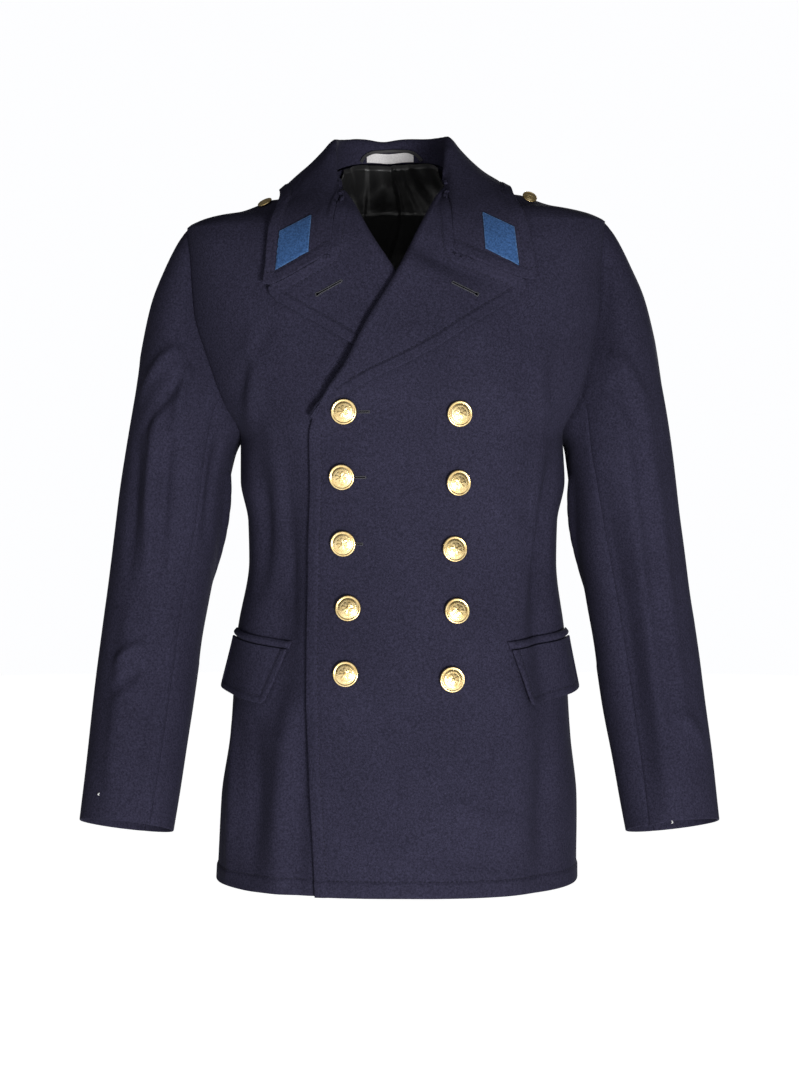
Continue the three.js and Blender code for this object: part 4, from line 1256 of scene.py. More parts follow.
note_stitches(collar_grid, 1, to_outer, BORDER_STITCH, 1, to_end > BORDER_STITCH)
half = len(collar_grid) // 2
for to_this_end, rows in [(to_left_end, np.s_[:half]), (to_right_end, np.s_[half:])]:
    field = to_this_end[rows]
    note_stitches(collar_grid[rows], 1, field, BORDER_STITCH, 0, np.ones(field.shape, bool))
COLLAR_TREE = tree_of(piece)

# ---- Lapels ----------------------------------------------------------------------------------

LAPEL_PITCH = 1.9
LAPEL_COLUMNS = 60
HIDDEN_LAPEL_START = 5
GORGE_STEP = 2.0
GORGE_TUCK = 1.5
GORGE_REACH = 11
LAPEL_OUT = {"left": 5.2, "right": 5.0}
# The lapel's section at the roll: distance past the roll line and height of its face off the front.
ROLL_SECTION = np.array(
    [[7, -5.8], [1.5, -5.6], [-1.6, -4.2], [-3.0, -1.2], [-2.6, 2.6], [-0.4, 5.2], [3.2, 6.6]]
)


def smoothed(values, reach):
    """A running average that keeps both ends."""
    padded = np.concatenate([[values[0]] * reach, values, [values[-1]] * reach])
    return np.convolve(padded, np.ones(2 * reach + 1) / (2 * reach + 1), mode="valid")


def gorge_moves(edge, inside, tree):
    """How far each point of a lapel's edge is moved to lie just under the collar's end."""
    moves = []
    for point, outward in zip(edge, unit(edge - inside)):
        nearest, _, gap = tree.find(Vector(point))
        move = np.array(nearest) - point + outward * GORGE_TUCK + np.array([0, GORGE_STEP, 0])
        moves.append(move * smooth((GORGE_REACH - gap) / 4))
    moves = np.array(moves)
    return np.stack([smoothed(moves[:, k], 5) for k in range(3)], axis=1)


def joined_at_gorge(grid, side):
    """The lapel with its outer and top edges brought against the collar's end, just below its face."""
    tree = nearest_finder(resampled(collar_grid[0 if side > 0 else -1], 0.5))
    distance = lengths_along(grid)
    share = np.exp(-(((distance[:, -1:] - distance) / 16) ** 2)) * smooth((distance - 6) / 8)
    grid = grid + gorge_moves(grid[:, -1], grid[:, -6], tree)[:, None] * share[..., None]
    distance = lengths_along(grid[::-1].swapaxes(0, 1)).T[::-1]
    share = np.exp(-((distance / 12) ** 2))
    return grid + gorge_moves(grid[-1], grid[-6], tree)[None] * share[..., None]


def lapel(name, side, first):
    """The lapel's face from inside the opening over the roll to its outer edge, row by row."""
    rows = np.arange(first, len(LAPEL["rollZ"]))
    corners = np.stack([LAPEL["edgeX"][rows], LAPEL["edgeZ"][rows]], axis=1)
    run = np.concatenate([[0], np.cumsum(np.linalg.norm(np.diff(corners, axis=0), axis=1))])
    goal = np.linspace(0, run[-1], int(run[-1] / LAPEL_PITCH) + 1)
    edge_x = smoothed(np.interp(goal, run, corners[:, 0]), 2)
    edge_z = smoothed(np.interp(goal, run, corners[:, 1]), 2)
    roll_z = smoothed(np.interp(goal, run, LAPEL["rollZ"][rows]), 4)
    roll_x = front_edge(roll_z)
    width = np.hypot(edge_x - roll_x, edge_z - roll_z)
    size = np.minimum(1, 0.25 + width / 22)[:, None]
    past = ROLL_SECTION[None, :, 0] * size
    out = mix(ROLL_SECTION[None, :, 1] * size, ROLL_SECTION[None, :, 1], 0.5)
    shares = np.linspace(0, 1, LAPEL_COLUMNS + 1)[None, 1:]
    flat = mix(past[:, -1:], width[:, None], shares)
    rest = LAPEL_OUT[name] + (ROLL_SECTION[-1, 1] - LAPEL_OUT[name]) * np.exp(-flat / 16)
    distance = np.concatenate([past, flat], axis=1)
    height = np.concatenate([out, rest * mix(0.6, 1, smooth(width[:, None] / 26))], axis=1)
    along = unit(np.stack([edge_x - roll_x, edge_z - roll_z], axis=1) + 1e-6)
    x = roll_x[:, None] + along[:, :1] * distance
    z = roll_z[:, None] + along[:, 1:] * distance
    grid = on_front(side, x, z, height)
    grid = joined_at_gorge(grid, side)
    outline = resampled(grid[:, -1], 1.0)
    to_edge = outline_distance(grid, outline)
    visible = smooth((distance - 4) / 6)
    normals = grid_normals(grid, side)
    grid = grid + normals * (stitched(to_edge, BORDER_STITCH) * visible)[..., None]
    return grid, to_edge, distance


for name, side in SIDES:
    grid, to_edge, distance = lapel(name, side, 0 if side > 0 else HIDDEN_LAPEL_START)
    piece = add_cloth(f"cloth_lapel_{name}", grid, TWO_PLY, side, WOOL, (SEAM, FOLD, FOLD, FOLD))
    CLOTH_PIECES[f"lapel_{name}"] = (piece, grid)
    note_stitches(grid, side, to_edge, BORDER_STITCH, 1, distance > 10)

# ---- Pocket flaps and welts ------------------------------------------------------------------

FLAP_STITCH = 8.0
FLAP_CORNER = 7.0
FLAP_HEIGHT = FLAP_TOP_FRONT - FLAP_BOTTOM_FRONT


def beside_pocket(name, side, along, drop, out):
    top = mix(FLAP_FRONT_TOP[name], FLAP_REAR_TOP, along)
    bottom = mix(FLAP_FRONT_BOTTOM[name], FLAP_REAR_BOTTOM, along)
    z_top = mix(FLAP_TOP_FRONT, FLAP_TOP_REAR, along)
    z_bottom = mix(FLAP_BOTTOM_FRONT, FLAP_BOTTOM_REAR, along)
    return on_cloth(side * mix(top, bottom, drop), mix(z_top, z_bottom, drop), out, side > 0)


for name, side in SIDES:
    along, down = np.meshgrid(np.linspace(0, 1, 64), np.linspace(0, 1, 52))
    from_end = np.minimum(along, 1 - along) * 95
    into_corner = np.maximum(FLAP_CORNER - from_end, 0)
    cut = FLAP_CORNER - np.sqrt(np.maximum(FLAP_CORNER**2 - into_corner**2, 0))
    drop = down * (1 - cut / FLAP_HEIGHT)
    stand_off = 2.4 * (1 - along) * drop + 8 * smooth((along - 0.45) / 0.55) * drop**1.3
    stand_off += 0.8 * np.sin(9 * along + 2 * side) * drop
    grid = beside_pocket(name, side, along, drop, 4.4 + stand_off)
    rim = np.concatenate([grid[:, 0], grid[-1], grid[::-1, -1]])
    to_rim = outline_distance(grid, resampled(rim, 1.0))
    grid = grid - grid_normals(grid, side) * stitched(to_rim, FLAP_STITCH)[..., None]
    piece = add_cloth(f"cloth_pocket_flap_{name}", grid, TWO_PLY, -side, WOOL, (FOLD, FOLD, SEAM, FOLD))
    CLOTH_PIECES[f"pocket_flap_{name}"] = (piece, grid)
    note_stitches(grid, -side, to_rim, FLAP_STITCH, 0, (along > 0.1) & (along < 0.9))
    half_way = grid.shape[1] // 2
    deep = down[:, :half_way] > 0.05
    note_stitches(grid[:, :half_way], -side, to_rim[:, :half_way], FLAP_STITCH, 1, deep)

    along, up = np.meshgrid(np.linspace(-0.01, 1.01, 64), np.linspace(0, 1, 14))
    height = WELT_HEIGHT / FLAP_HEIGHT
    bulge = 2.6 * np.sin(np.pi * up) ** 0.7 * (1 + 0.12 * np.sin(11 * along))
    bulge *= 0.35 + 0.65 * smooth(np.minimum(along, 1 - along) / 0.05)
    rear = 1.2 * smooth((along - 0.8) / 0.2) * np.sin(np.pi * up)
    grid = beside_pocket(name, side, along, mix(-height, -0.012, up), 2.2 + bulge + rear)
    piece = add_cloth(f"cloth_pocket_welt_{name}", grid, CLOTH, -side, WOOL, (FOLD, FOLD, SEAM, SEAM))
    CLOTH_PIECES[f"pocket_welt_{name}"] = (piece, grid)

# ---- Collar patches --------------------------------------------------------------------------

PATCH_CORNERS = np.array([[86.0, -46.5], [118, -62], [122, -101.5], [88.5, -84.0]])
PATCH_GAP = 0.5
EDGING = 0.5


def sweep(name, lines, radii, material, sides=8, closed=False):
    """Round cords along lines of points, all in one mesh; each has its own radii."""
    points, faces = [], []
    for line, radius in zip(lines, radii):
        line = np.asarray(line, float)
        count = len(line)
        radius = np.broadcast_to(np.asarray(radius, float), (count,))
        tangent = np.roll(line, -1, 0) - np.roll(line, 1, 0) if closed else np.gradient(line, axis=0)
        tangent = unit(tangent)
        guide = np.array([0.3, 0.2, 0.93]) if abs(tangent[0, 2]) < 0.8 else np.array([0.93, 0.2, 0.3])
        first = unit(np.cross(tangent, guide))
        second = np.cross(tangent, first)
        turn = np.linspace(0, 2 * np.pi, sides, endpoint=False)
        ring = np.cos(turn)[None, :, None] * first[:, None]
        ring = ring + np.sin(turn)[None, :, None] * second[:, None]
        base = len(points)
        points.extend((line[:, None] + ring * radius[:, None, None]).reshape(-1, 3))
        stretch = count if closed else count - 1
        for i in range(stretch):
            for k in range(sides):
                a = base + i * sides + k
                b = base + i * sides + (k + 1) % sides
                c = base + ((i + 1) % count) * sides + (k + 1) % sides
                d = base + ((i + 1) % count) * sides + k
                faces.append((a, b, c, d))
        if not closed:
            faces.append(tuple(base + k for k in range(sides))[::-1])
            faces.append(tuple(base + (count - 1) * sides + k for k in range(sides)))
    return add_mesh(name, points, faces, material)


FORWARD = (0, 1, 0)
EDGINGS = {}
for name, side in SIDES:
    in_top, out_top, out_bottom, in_bottom = PATCH_CORNERS
    across, down = np.meshgrid(np.linspace(0, 1, 30), np.linspace(0, 1, 34))
    top = mix(in_top, out_top, across[..., None])
    bottom = mix(in_bottom, out_bottom, across[..., None])
    flat = mix(top, bottom, down[..., None])
    grid = np.zeros((*flat.shape[:2], 3))
    lift = np.zeros_like(grid)
    for i in range(grid.shape[0]):
        for j in range(grid.shape[1]):
            x, z = side * flat[i, j, 0], flat[i, j, 1]
            start = leaned(np.array([x, -400.0, z]))
            point, normal = met(COLLAR_TREE, start, FORWARD)
            grid[i, j] = unleaned(point)
            lift[i, j] = normal
    rim = np.minimum.reduce([across * 36, (1 - across) * 36, down * 42, (1 - down) * 42])
    crown = PATCH_GAP + FELT - 0.5 * np.exp(-((rim / 1.2) ** 2))
    face = grid + lift * crown[..., None]
    radii = (0.5, 0.5, 0.5, 0.5)
    piece = add_cloth(f"cloth_collar_patch_{name}", face, FELT, -side, FELT_BLUE, radii)
    CLOTH_PIECES[f"collar_patch_{name}"] = (piece, face)
    around_patch = [face[0, :-1], face[:-1, -1], face[-1, :0:-1], face[:0:-1, 0]]
    loop = np.concatenate(around_patch)
    loop = loop + unit(face.mean((0, 1)) - loop) * 0.7 - lift.mean((0, 1)) * 0.1
    EDGINGS[name] = sweep(f"collar_patch_edging_{name}", [loop], [EDGING], EDGING_BLUE, 8, True)

# ---- Label, hanger loop and lining -----------------------------------------------------------

LABEL_LEFT, LABEL_RIGHT = -33.0, 18.0
LABEL_BOTTOM, LABEL_TOP = 21.0, 31.0
# How far the label's face and the loop's face stand off the collar.
LABEL_OUT, LOOP_OUT = 1.6, 2.9
LOOP = table(
    ["x", "z"],
    [
        [-40, 20.6],
        [-38, 25],
        [-35, 29],
        [-27, 32.6],
        [-6, 33.8],
        [12, 33],
        [20, 30.2],
        [26, 24.5],
        [28, 20.6],
    ],
)
LOOP_HALF = 1.5


def on_stand(x, z, out):
    start = leaned(np.array([x, 0.0, z]))
    point, normal = met(COLLAR_TREE, start, FORWARD)
    return unleaned(point + normal * out)


label_grid = np.array(
    [
        [
            on_stand(x, z + 0.5 * math.sin(0.16 * x), LABEL_OUT + 0.5 * math.sin(0.21 * x + 1) * up)
            for x in np.linspace(LABEL_LEFT, LABEL_RIGHT, 42)
        ]
        for up, z in zip(np.linspace(1, 0, 10), np.linspace(LABEL_BOTTOM, LABEL_TOP, 10))
    ]
)
piece = add_cloth("cloth_label", label_grid, 0.6, 1, WHITE_SATIN, (FOLD, FOLD, FOLD, FOLD))
CLOTH_PIECES["label"] = (piece, label_grid)

loop_line = resampled(stack(LOOP["x"], 0 * LOOP["x"], LOOP["z"]), 1.0)
loop_line = np.stack([smoothed(loop_line[:, k], 4) for k in range(3)], axis=1)
loop_sideways = unit(np.stack([-np.gradient(loop_line[:, 2]), np.gradient(loop_line[:, 0])], axis=1))
loop_pushes = np.linspace(-LOOP_HALF, LOOP_HALF, 5)
loop_grid = np.array(
    [
        [on_stand(p[0] + push * n[0], p[2] + push * n[1], LOOP_OUT) for push in loop_pushes]
        for p, n in zip(loop_line, loop_sideways)
    ]
)
piece = add_cloth("cloth_hanger_loop", loop_grid, 1.3, -1, LOOP_BRAID, (FOLD, FOLD, FOLD, FOLD))
CLOTH_PIECES["hanger_loop"] = (piece, loop_grid)

LINING_INSET = CLOTH + 1.3 + SATIN
LINING_TURN = 56.0
LINING_BOTTOM = -700.0
# The lining's rows are closer together above this height, which shows in the neck.
LINING_SHOWS = -130
LINING_LOW_ROWS, LINING_HIGH_ROWS, LINING_COLUMNS = 52, 86, 132
PLEAT = table(
    ["z", "x"],
    [
        [-700, -14],
        [-260, -12],
        [-100, -13],
        [-70, -6],
        [-55, -1.5],
        [-30, 3],
        [-10, 1],
        [5, -3],
        [20, -5],
    ],
)
pleat_line = through(PLEAT["z"], PLEAT["x"])


def lining_points():
    low = np.linspace(LINING_BOTTOM, LINING_SHOWS, LINING_LOW_ROWS)[:-1]
    high = np.linspace(LINING_SHOWS, NECK_POINT, LINING_HIGH_ROWS)
    turns = 180 + np.linspace(-LINING_TURN, LINING_TURN, LINING_COLUMNS)
    angle, z = np.meshgrid(turns, np.concatenate([low, high]))
    angle = np.where(angle > 180, angle - 360, angle)
    level = row_height(z, angle)
    form = on_body(angle, level)
    x = form[..., 0] - pleat_line(level)
    upper = smooth((level + 29 + 1.5 * np.sin(form[..., 0] / 14)) / 3)
    near_neck = smooth((z + 62) / 60)
    step = 3.4 / (1 + np.exp(np.clip(x / 0.7, -30, 30)))
    crease = -1.6 * np.exp(-(((x - 1.6) / 1.5) ** 2))
    tuck = form[..., 0] + 37 + 0.05 * level
    step -= 2.6 * upper / (1 + np.exp(np.clip(tuck / 0.7, -30, 30)))
    folded = np.exp(-(((tuck + 12 + 0.45 * (level + 10)) / 4) ** 2)) * 2.2 * near_neck
    beside = smooth((x - 6) / 14)
    gather = 1.1 * np.sin(x / 2.7 + 0.11 * level + 1.6 * np.sin(x / 13)) * near_neck * beside
    flute = 1.0 * np.sin(x / 11 + 0.8 * np.sin(level / 31)) + 0.6 * np.sin(x / 5.2 + level / 40 + 1.3)
    loose = 1.2 * np.sin(level / 47 + x / 60) + unevenness(form * 1.5)
    lift = step + crease + flute + gather + folded + loose + 1.3 * upper
    clear_of_back_folds = 2.2 * smooth((-100 - level) / 60)
    inward = np.maximum(lift + 3.0, 0.2) + clear_of_back_folds
    return form - body_normal(angle, level) * (LINING_INSET + inward)[..., None]


lining_grid = lining_points()
tucked = [lining_grid[-1:] + np.array([0, 0.35 * rise, rise]) for rise in (1.5, 3, 4.5)]
lining_grid = np.concatenate([lining_grid, *tucked])
piece = add_cloth("cloth_lining_back", lining_grid, SATIN, -1, BLACK_SATIN, (0.3, 0.3, FOLD, 0.3))
CLOTH_PIECES["lining_back"] = (piece, lining_grid)

# ---- Buttons ---------------------------------------------------------------------------------

# Section of the button for a radius of 1: shank, back, rolled rim, gutter and the domed field.
BUTTON_SECTION = table(
    ["radius", "height"],
    [
        [0.001, 0.0],
        [0.2, 0.0],
        [0.2, 0.13],
        [0.55, 0.14],
        [0.88, 0.17],
        [0.955, 0.2],
        [0.992, 0.255],
        [1.0, 0.31],
        [0.985, 0.365],
        [0.94, 0.4],
        [0.885, 0.405],
        [0.845, 0.38],
        [0.82, 0.352],
        [0.79, 0.352],
        [0.76, 0.372],
        [0.7, 0.4],
        [0.6, 0.437],
        [0.5, 0.465],
        [0.4, 0.487],
        [0.3, 0.503],
        [0.2, 0.514],
        [0.1, 0.52],
        [0.001, 0.522],
    ],
)
BUTTON_TURNS = 96
# The row of the table where the domed field starts, and how many rings the field has.
FIELD_START = 13
FIELD_STEPS = 40


def rosette(radius, turn):
    """A plain eight-petalled flower in a beaded ring, for a radius of 1: a stock button pattern."""
    petal = np.cos(4 * turn) ** 2
    reach = 0.18 + 0.34 * petal**0.6
    flower = smooth((reach - radius) / 0.05) * (0.6 + 0.4 * petal)
    vein = 1 - 0.55 * np.exp(-((np.sin(4 * turn) / 0.14) ** 2)) * smooth((radius - 0.1) / 0.1)
    heart = 1.1 * smooth((0.13 - radius) / 0.04)
    bead = np.cos(14 * turn) ** 2 * np.exp(-(((radius - 0.65) / 0.035) ** 2))
    ring = 0.55 * np.exp(-(((radius - 0.575) / 0.014) ** 2))
    return 0.034 * (flower * vein + heart + 0.8 * bead + ring)


def add_button(name, seat, outward, radius, spin):
    """A gilt button on its shank, with its face turned outwards."""
    r = BUTTON_SECTION["radius"]
    h = BUTTON_SECTION["height"]
    field_r = np.linspace(r[FIELD_START], r[-1], FIELD_STEPS)
    field_h = np.interp(-field_r, -r[FIELD_START:], h[FIELD_START:])
    r = np.concatenate([r[:FIELD_START], field_r])
    h = np.concatenate([h[:FIELD_START], field_h])
    turn = np.linspace(0, 2 * np.pi, BUTTON_TURNS, endpoint=False)
    radial, angle = np.meshgrid(r, turn, indexing="ij")
    height = np.broadcast_to(h[:, None], radial.shape).copy()
    on_field = (np.arange(len(r)) >= FIELD_START)[:, None]
    height += np.where(on_field, rosette(radial, angle + spin), 0)
    axis = unit(outward)
    side = unit(np.cross(axis, np.array([0.1, 0.2, 1.0])))
    up = np.cross(axis, side)
    local_x = radial * np.cos(angle)
    local_y = radial * np.sin(angle)
    points = seat + radius * (
        local_x[..., None] * side + local_y[..., None] * up + (height + 0.02)[..., None] * axis
    )
    rings = len(r)
    at = np.arange(rings * BUTTON_TURNS).reshape(rings, BUTTON_TURNS)
    following = np.roll(at, -1, axis=1)
    quads = np.stack([at[:-1], following[:-1], following[1:], at[1:]], axis=-1).reshape(-1, 4)
    faces = quads.tolist() + [at[0].tolist()[::-1], at[-1].tolist()]
    return add_mesh(name, points.reshape(-1, 3), faces, GILT)


def middle_of(node):
    low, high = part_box(node)
    return unleaned(np.array([(a + b) / 2 / MM for a, b in zip(low, high)]))


def cloth_seat(x, z):
    """A place on the lapping front, and the way out from it."""
    at_x = np.array([x]) - body["shift"](np.array([z]))
    angle = front_angle(at_x, np.array([z]))
    point = on_cloth(angle, np.array([z]), np.zeros(1), True)[0]
    return point, body_normal(angle, np.array([z]))[0]


BUTTONS = {}
BUTTONHOLES = []
# Where each buttonhole under the right-hand buttons ends, and half its length.
HOLE_ENDS = [-27, -30.5, -33.5, -38, -40]
HOLE_HALF = 12.0
# How each front button leans: to the coat's left and up, as shares of its axis.
BUTTON_TILTS = {
    "right": [(0.02, 0.03), (-0.03, 0.02), (0.0, -0.03), (0.03, 0.02), (-0.02, 0.0)],
    "left": [(0.14, 0.03), (0.24, 0.10), (0.18, 0.14), (0.12, 0.02), (0.12, 0.0)],
}
for name, side in SIDES:
    for index in range(5):
        node = f"button_{name}_{index + 1}"
        middle = middle_of(node)
        seat, outward = cloth_seat(middle[0], middle[2])
        tilt = BUTTON_TILTS[name][index]
        outward = unit(outward + np.array([tilt[0], 0, tilt[1]]))
        BUTTONS[node] = add_button(f"gilt_{node}", seat, outward, BUTTON_RADIUS, 0.4 * index + side)
        if side < 0:
            BUTTONHOLES.append((HOLE_ENDS[index] - HOLE_HALF, middle[2] - 0.5))
    node = f"shoulder_button_{name}"
    middle = middle_of(node)
    angle = np.array([90 - math.degrees(math.atan2(-middle[1], abs(middle[0])))])
    radius = math.hypot(middle[0], middle[1])
    heights = np.linspace(-50, 0, 400)
    level = heights[np.argmin(np.abs(body_radius(side * angle, heights) - radius))]
    seat = on_cloth(side * angle, np.array([level]), np.array([0.8 if side > 0 else 0.2]), side > 0)[0]
    outward = body_normal(side * angle, np.array([level]))[0]
    outward = outward + np.array([0, -0.55 if side > 0 else -0.1, 0])
    BUTTONS[node] = add_button(f"gilt_{node}", seat, unit(outward), SHOULDER_BUTTON_RADIUS, 0.3)

# ---- Buttonholes -----------------------------------------------------------------------------


def hole_outline(half_length, eyelet):
    """A keyhole's outline: a narrow slit with a rounder end."""
    turn = np.linspace(0, 2 * np.pi, 72, endpoint=False)
    x = np.clip(1.25 * half_length * np.cos(turn), -half_length, half_length)
    y = 0.95 * np.sign(np.sin(turn)) * np.minimum(1, np.abs(np.sin(turn)) * 6)
    swell = np.exp(-(((x - half_length + 1.6) / 1.5) ** 2)) * eyelet
    return x, y * (1 + swell)


hole_lines, hole_radii = [], []
slit_shade_lines, slit_shade_radii = [], []


def add_buttonhole(place, half_length, eyelet):
    """The overcast edge of a buttonhole, ridged by its stitches, and a near-black cord of painted shade
    along its slit, thicker at the eyelet. place(x, y) is on the cloth.
    """
    x, y = hole_outline(half_length, eyelet)
    closed = [np.append(x, x[0]), np.append(y, y[0]), np.zeros(len(x) + 1)]
    outline = resampled(np.stack(closed, axis=1), 0.28)
    line = np.array([place(p[0], p[1]) for p in outline[:-1]])
    hole_lines.append(line)
    hole_radii.append(0.62 + 0.16 * np.sin(np.arange(len(line)) * 2 * np.pi / 3))
    # A near-black cord along the slit, thicker at the eyelet, is painted shade inside the cut and the
    # eyelet.
    slit = np.linspace(1 - half_length, half_length - 0.6, 24)
    slit_shade_lines.append(np.array([place(x, 0) for x in slit]))
    slit_shade_radii.append(0.5 + 0.75 * eyelet * np.exp(-(((slit - half_length + 1.8) / 1.1) ** 2)))


for x0, z0 in BUTTONHOLES:

    def on_lapping_front(x, y, x0=x0, z0=z0):
        point, outward = cloth_seat(x0 + x, z0 + y)
        return point + outward * 0.25

    add_buttonhole(on_lapping_front, HOLE_HALF, 0.0)

# On the lapels, from the outer end to the inner: sideways place and height.
LAPEL_HOLES = {"left": ((81, -130.5), (55, -117.5)), "right": ((-81, -127.5), (-55, -113.5))}
for name, side in SIDES:
    tree = tree_of(CLOTH_PIECES[f"lapel_{name}"][0])
    outer_end, inner_end = (np.array(end, float) for end in LAPEL_HOLES[name])
    middle = (outer_end + inner_end) / 2
    along = (outer_end - inner_end) / np.linalg.norm(outer_end - inner_end)
    across = np.array([-along[1], along[0]])

    def on_lapel(x, y, tree=tree, middle=middle, along=along, across=across):
        flat = middle + along * x + across * y
        start = leaned(np.array([flat[0], -400.0, flat[1]]))
        point, normal = met(tree, start, FORWARD)
        return unleaned(point + normal * 0.25)

    half_length = np.linalg.norm(outer_end - inner_end) / 2
    add_buttonhole(on_lapel, half_length, 0.9)

buttonholes = sweep("buttonhole_stitching", hole_lines, hole_radii, HOLE_THREAD, 6, True)
# The slit cords are painted shade of the buttonhole openings, not cloth of their own.
slit_shade_cords = sweep("buttonhole_slit_shade", slit_shade_lines, slit_shade_radii, SLIT_SHADE_BLACK, 6)

# ---- Stitches --------------------------------------------------------------------------------

STITCH = 3.1
STITCH_GAP = 1.5
# A stitch's thickness, and how high it arches over the cloth, at five points along it.
THREAD_RADII = 0.36 * np.array([0.5, 1, 1, 1, 0.5])
STITCH_ARCH = np.array([-0.35, 0.12, 0.22, 0.12, -0.35])


def stitch_runs():
    """Every stitch as a short arched line, from the lines kept while the pieces were made."""
    found = []
    for line in STITCH_LINES:
        points = np.array([place for place, _ in line])
        outward = np.array([way for _, way in line])
        run = lengths_along(points[None])[0]
        for start in np.arange(1.0, run[-1] - STITCH, STITCH + STITCH_GAP):
            at = start + STITCH * np.linspace(0, 1, 5)
            place = np.stack([np.interp(at, run, points[:, k]) for k in range(3)], axis=1)
            way = np.stack([np.interp(at, run, outward[:, k]) for k in range(3)], axis=1)
            found.append(place + unit(way) * STITCH_ARCH[:, None])
    return found


runs = stitch_runs()
topstitching = sweep("topstitching", runs, [THREAD_RADII] * len(runs), THREAD, 5)

# Ends of white tacking thread left in the cuffs: sleeve side, turn, ring and length.
TACKS = [(-1, 58, 13.45, 3.6), (1, 96, 13.98, 4.2)]
tack_lines = []
for side, turn, ring, length in TACKS:
    turn_at = np.array([float(turn)])
    ring_at = np.array([float(ring)])
    form = sleeve_point(side, turn_at, ring_at)
    outward = sleeve_normal(side, turn_at, ring_at)[0]
    root = form[0] + outward * relief(form, side)[0]
    share = np.linspace(0, 1, 9)
    curl = [side * 1.1 * np.sin(3 * share), 0.5 * np.sin(7 * share), -0.6 * length * share]
    curl = np.stack(curl, axis=1)
    tack_lines.append(root + outward * (0.3 + 1.6 * share * (1 - share))[:, None] + curl)
tacking = sweep("tacking_threads", tack_lines, [0.55, 0.55], WHITE_THREAD, 6)

# ---- How the pieces belong to the frame ------------------------------------------------------

# What each sheet rests on or is sewn to.
RESTS = {"collar": "cloth_back_left", "label": "cloth_collar", "lining_back": "cloth_collar"}
for name, _ in SIDES:
    for part in ("front", "back", "collar_patch"):
        RESTS[f"{part}_{name}"] = "cloth_collar"
    for part in ("lapel", "pocket_flap", "pocket_welt", "sleeve_top"):
        RESTS[f"{part}_{name}"] = f"cloth_front_{name}"
    RESTS[f"sleeve_under_{name}"] = f"cloth_back_{name}"


def flat_size(grid):
    """The cut of a piece laid flat, in metres: its greatest width and length, and its area."""
    rows = lengths_along(grid)[:, -1].max()
    columns = lengths_along(grid.swapaxes(0, 1))[:, -1].max()
    across = grid[:-1, 1:] - grid[:-1, :-1]
    along = grid[1:, :-1] - grid[:-1, :-1]
    area = np.linalg.norm(np.cross(across, along), axis=-1).sum()
    return rows * MM, columns * MM, area * MM * MM


for node, (piece, grid) in CLOTH_PIECES.items():
    width, length, area = flat_size(grid)
    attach(piece, "root")
    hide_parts(node)
    if node in RESTS:
        area = min(area, width * length)
for node, button in BUTTONS.items():
    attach(button, "root")
    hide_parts(node)
for edging in EDGINGS.values():
    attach(edging, "root")
for thing in (buttonholes, slit_shade_cords, topstitching, tacking):
    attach(thing, "root")

# ---- Stage, light and camera -----------------------------------------------------------------

low = Vector(CAD_BOX[0])
FLOOR = low.z - 0.72
FLOOR_RADIUS = 9


def stage_material(name, shade):
    made = Nodes(name)
    made.set(Base_Color=(*grey(shade), 1), Roughness=0.95, Specular_IOR_Level=0.1)
    made.set(Emission_Color=(1, 1, 1, 1), Emission_Strength=0.9)
    return made.material


bpy.ops.mesh.primitive_circle_add(
    vertices=96, radius=FLOOR_RADIUS, fill_type="NGON", location=(0, 0, FLOOR)
)
floor = bpy.context.object
floor.name = "floor"
floor.data.materials.append(stage_material("pale_floor", 0.86))
floor.visible_diffuse = False


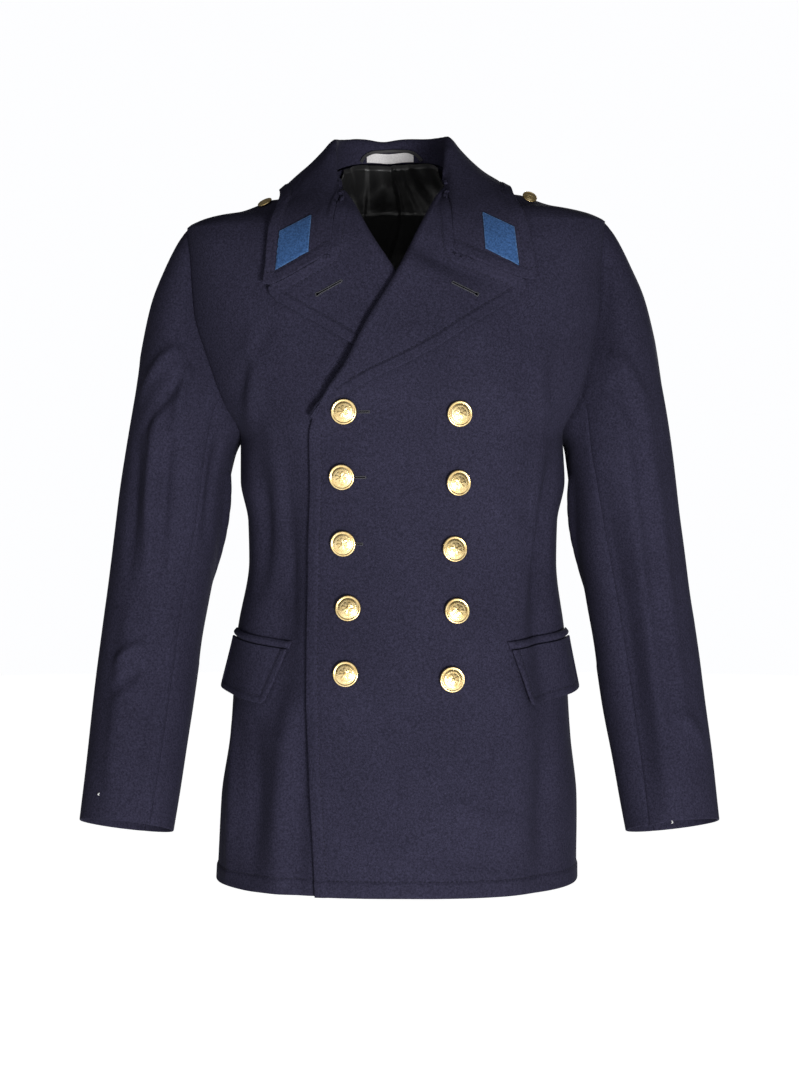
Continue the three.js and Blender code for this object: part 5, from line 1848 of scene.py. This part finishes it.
def studio_world():
    """White to the camera; for lighting, a white tent in front that fades to a dim room behind."""
    world = bpy.data.worlds.new("studio")
    world.use_nodes = True
    nodes, links = world.node_tree.nodes, world.node_tree.links
    background = nodes["Background"]
    background.inputs["Color"].default_value = (0.985, 0.988, 1.0, 1)
    place = nodes.new("ShaderNodeTexCoord")
    facing = nodes.new("ShaderNodeVectorMath")
    facing.operation = "DOT_PRODUCT"
    facing.inputs[1].default_value = Vector(TENT_MIDDLE).normalized()
    links.new(place.outputs["Generated"], facing.inputs[0])
    fade = nodes.new("ShaderNodeMapRange")
    fade.interpolation_type = "SMOOTHSTEP"
    links.new(facing.outputs["Value"], fade.inputs["Value"])
    ends = {"From Min": TENT_EDGE, "From Max": TENT_FULL, "To Min": ROOM_LIGHT, "To Max": TENT_LIGHT}
    for socket, value in ends.items():
        fade.inputs[socket].default_value = value
    path = nodes.new("ShaderNodeLightPath")
    seen = nodes.new("ShaderNodeMix")
    links.new(path.outputs["Is Camera Ray"], seen.inputs["Factor"])
    links.new(fade.outputs["Result"], seen.inputs["A"])
    seen.inputs["B"].default_value = 1
    links.new(seen.outputs["Result"], background.inputs["Strength"])
    bpy.context.scene.world = world


# Where the tent's middle lies from the coat, the cosines at its faint edge and where it is full, and
# how bright the room and the tent are.
TENT_MIDDLE = (0.05, -1, -0.45)
TENT_EDGE, TENT_FULL = 0.1, 0.85
ROOM_LIGHT, TENT_LIGHT = 0.08, 0.85
studio_world()


def add_light(name, place, target, width, height, power):
    data = bpy.data.lights.new(name, "AREA")
    data.shape = "RECTANGLE"
    data.size = width
    data.size_y = height
    data.energy = power
    lamp = bpy.data.objects.new(name, data)
    lamp.location = place
    lamp.rotation_euler = (Vector(target) - Vector(place)).to_track_quat("-Z", "Y").to_euler()
    bpy.context.scene.collection.objects.link(lamp)


CHEST = (0, 0, -0.3)
add_light("key", (0.6, -2.3, -0.95), CHEST, 0.5, 0.6, 51)
add_light("back", (0.7, 2.4, 0.3), CHEST, 1.2, 1.2, 34)

CAMERA_PLACE = Vector((2.6, -2600, -245)) * MM
CAMERA_TARGET = Vector((2.6, 0, -372)) * MM
FRAME_HEIGHT_PX = 1065
FOCAL_PX = 2479
SENSOR_MM = 36
camera_data = bpy.data.cameras.new("camera")
camera_data.sensor_fit = "VERTICAL"
camera_data.sensor_height = SENSOR_MM
camera_data.lens = SENSOR_MM * FOCAL_PX / FRAME_HEIGHT_PX
camera = bpy.data.objects.new("camera", camera_data)
camera.location = CAMERA_PLACE
camera.rotation_euler = (CAMERA_TARGET - CAMERA_PLACE).to_track_quat("-Z", "Y").to_euler()
bpy.context.scene.collection.objects.link(camera)
bpy.context.scene.camera = camera
bpy.context.scene.view_settings.view_transform = "Standard"
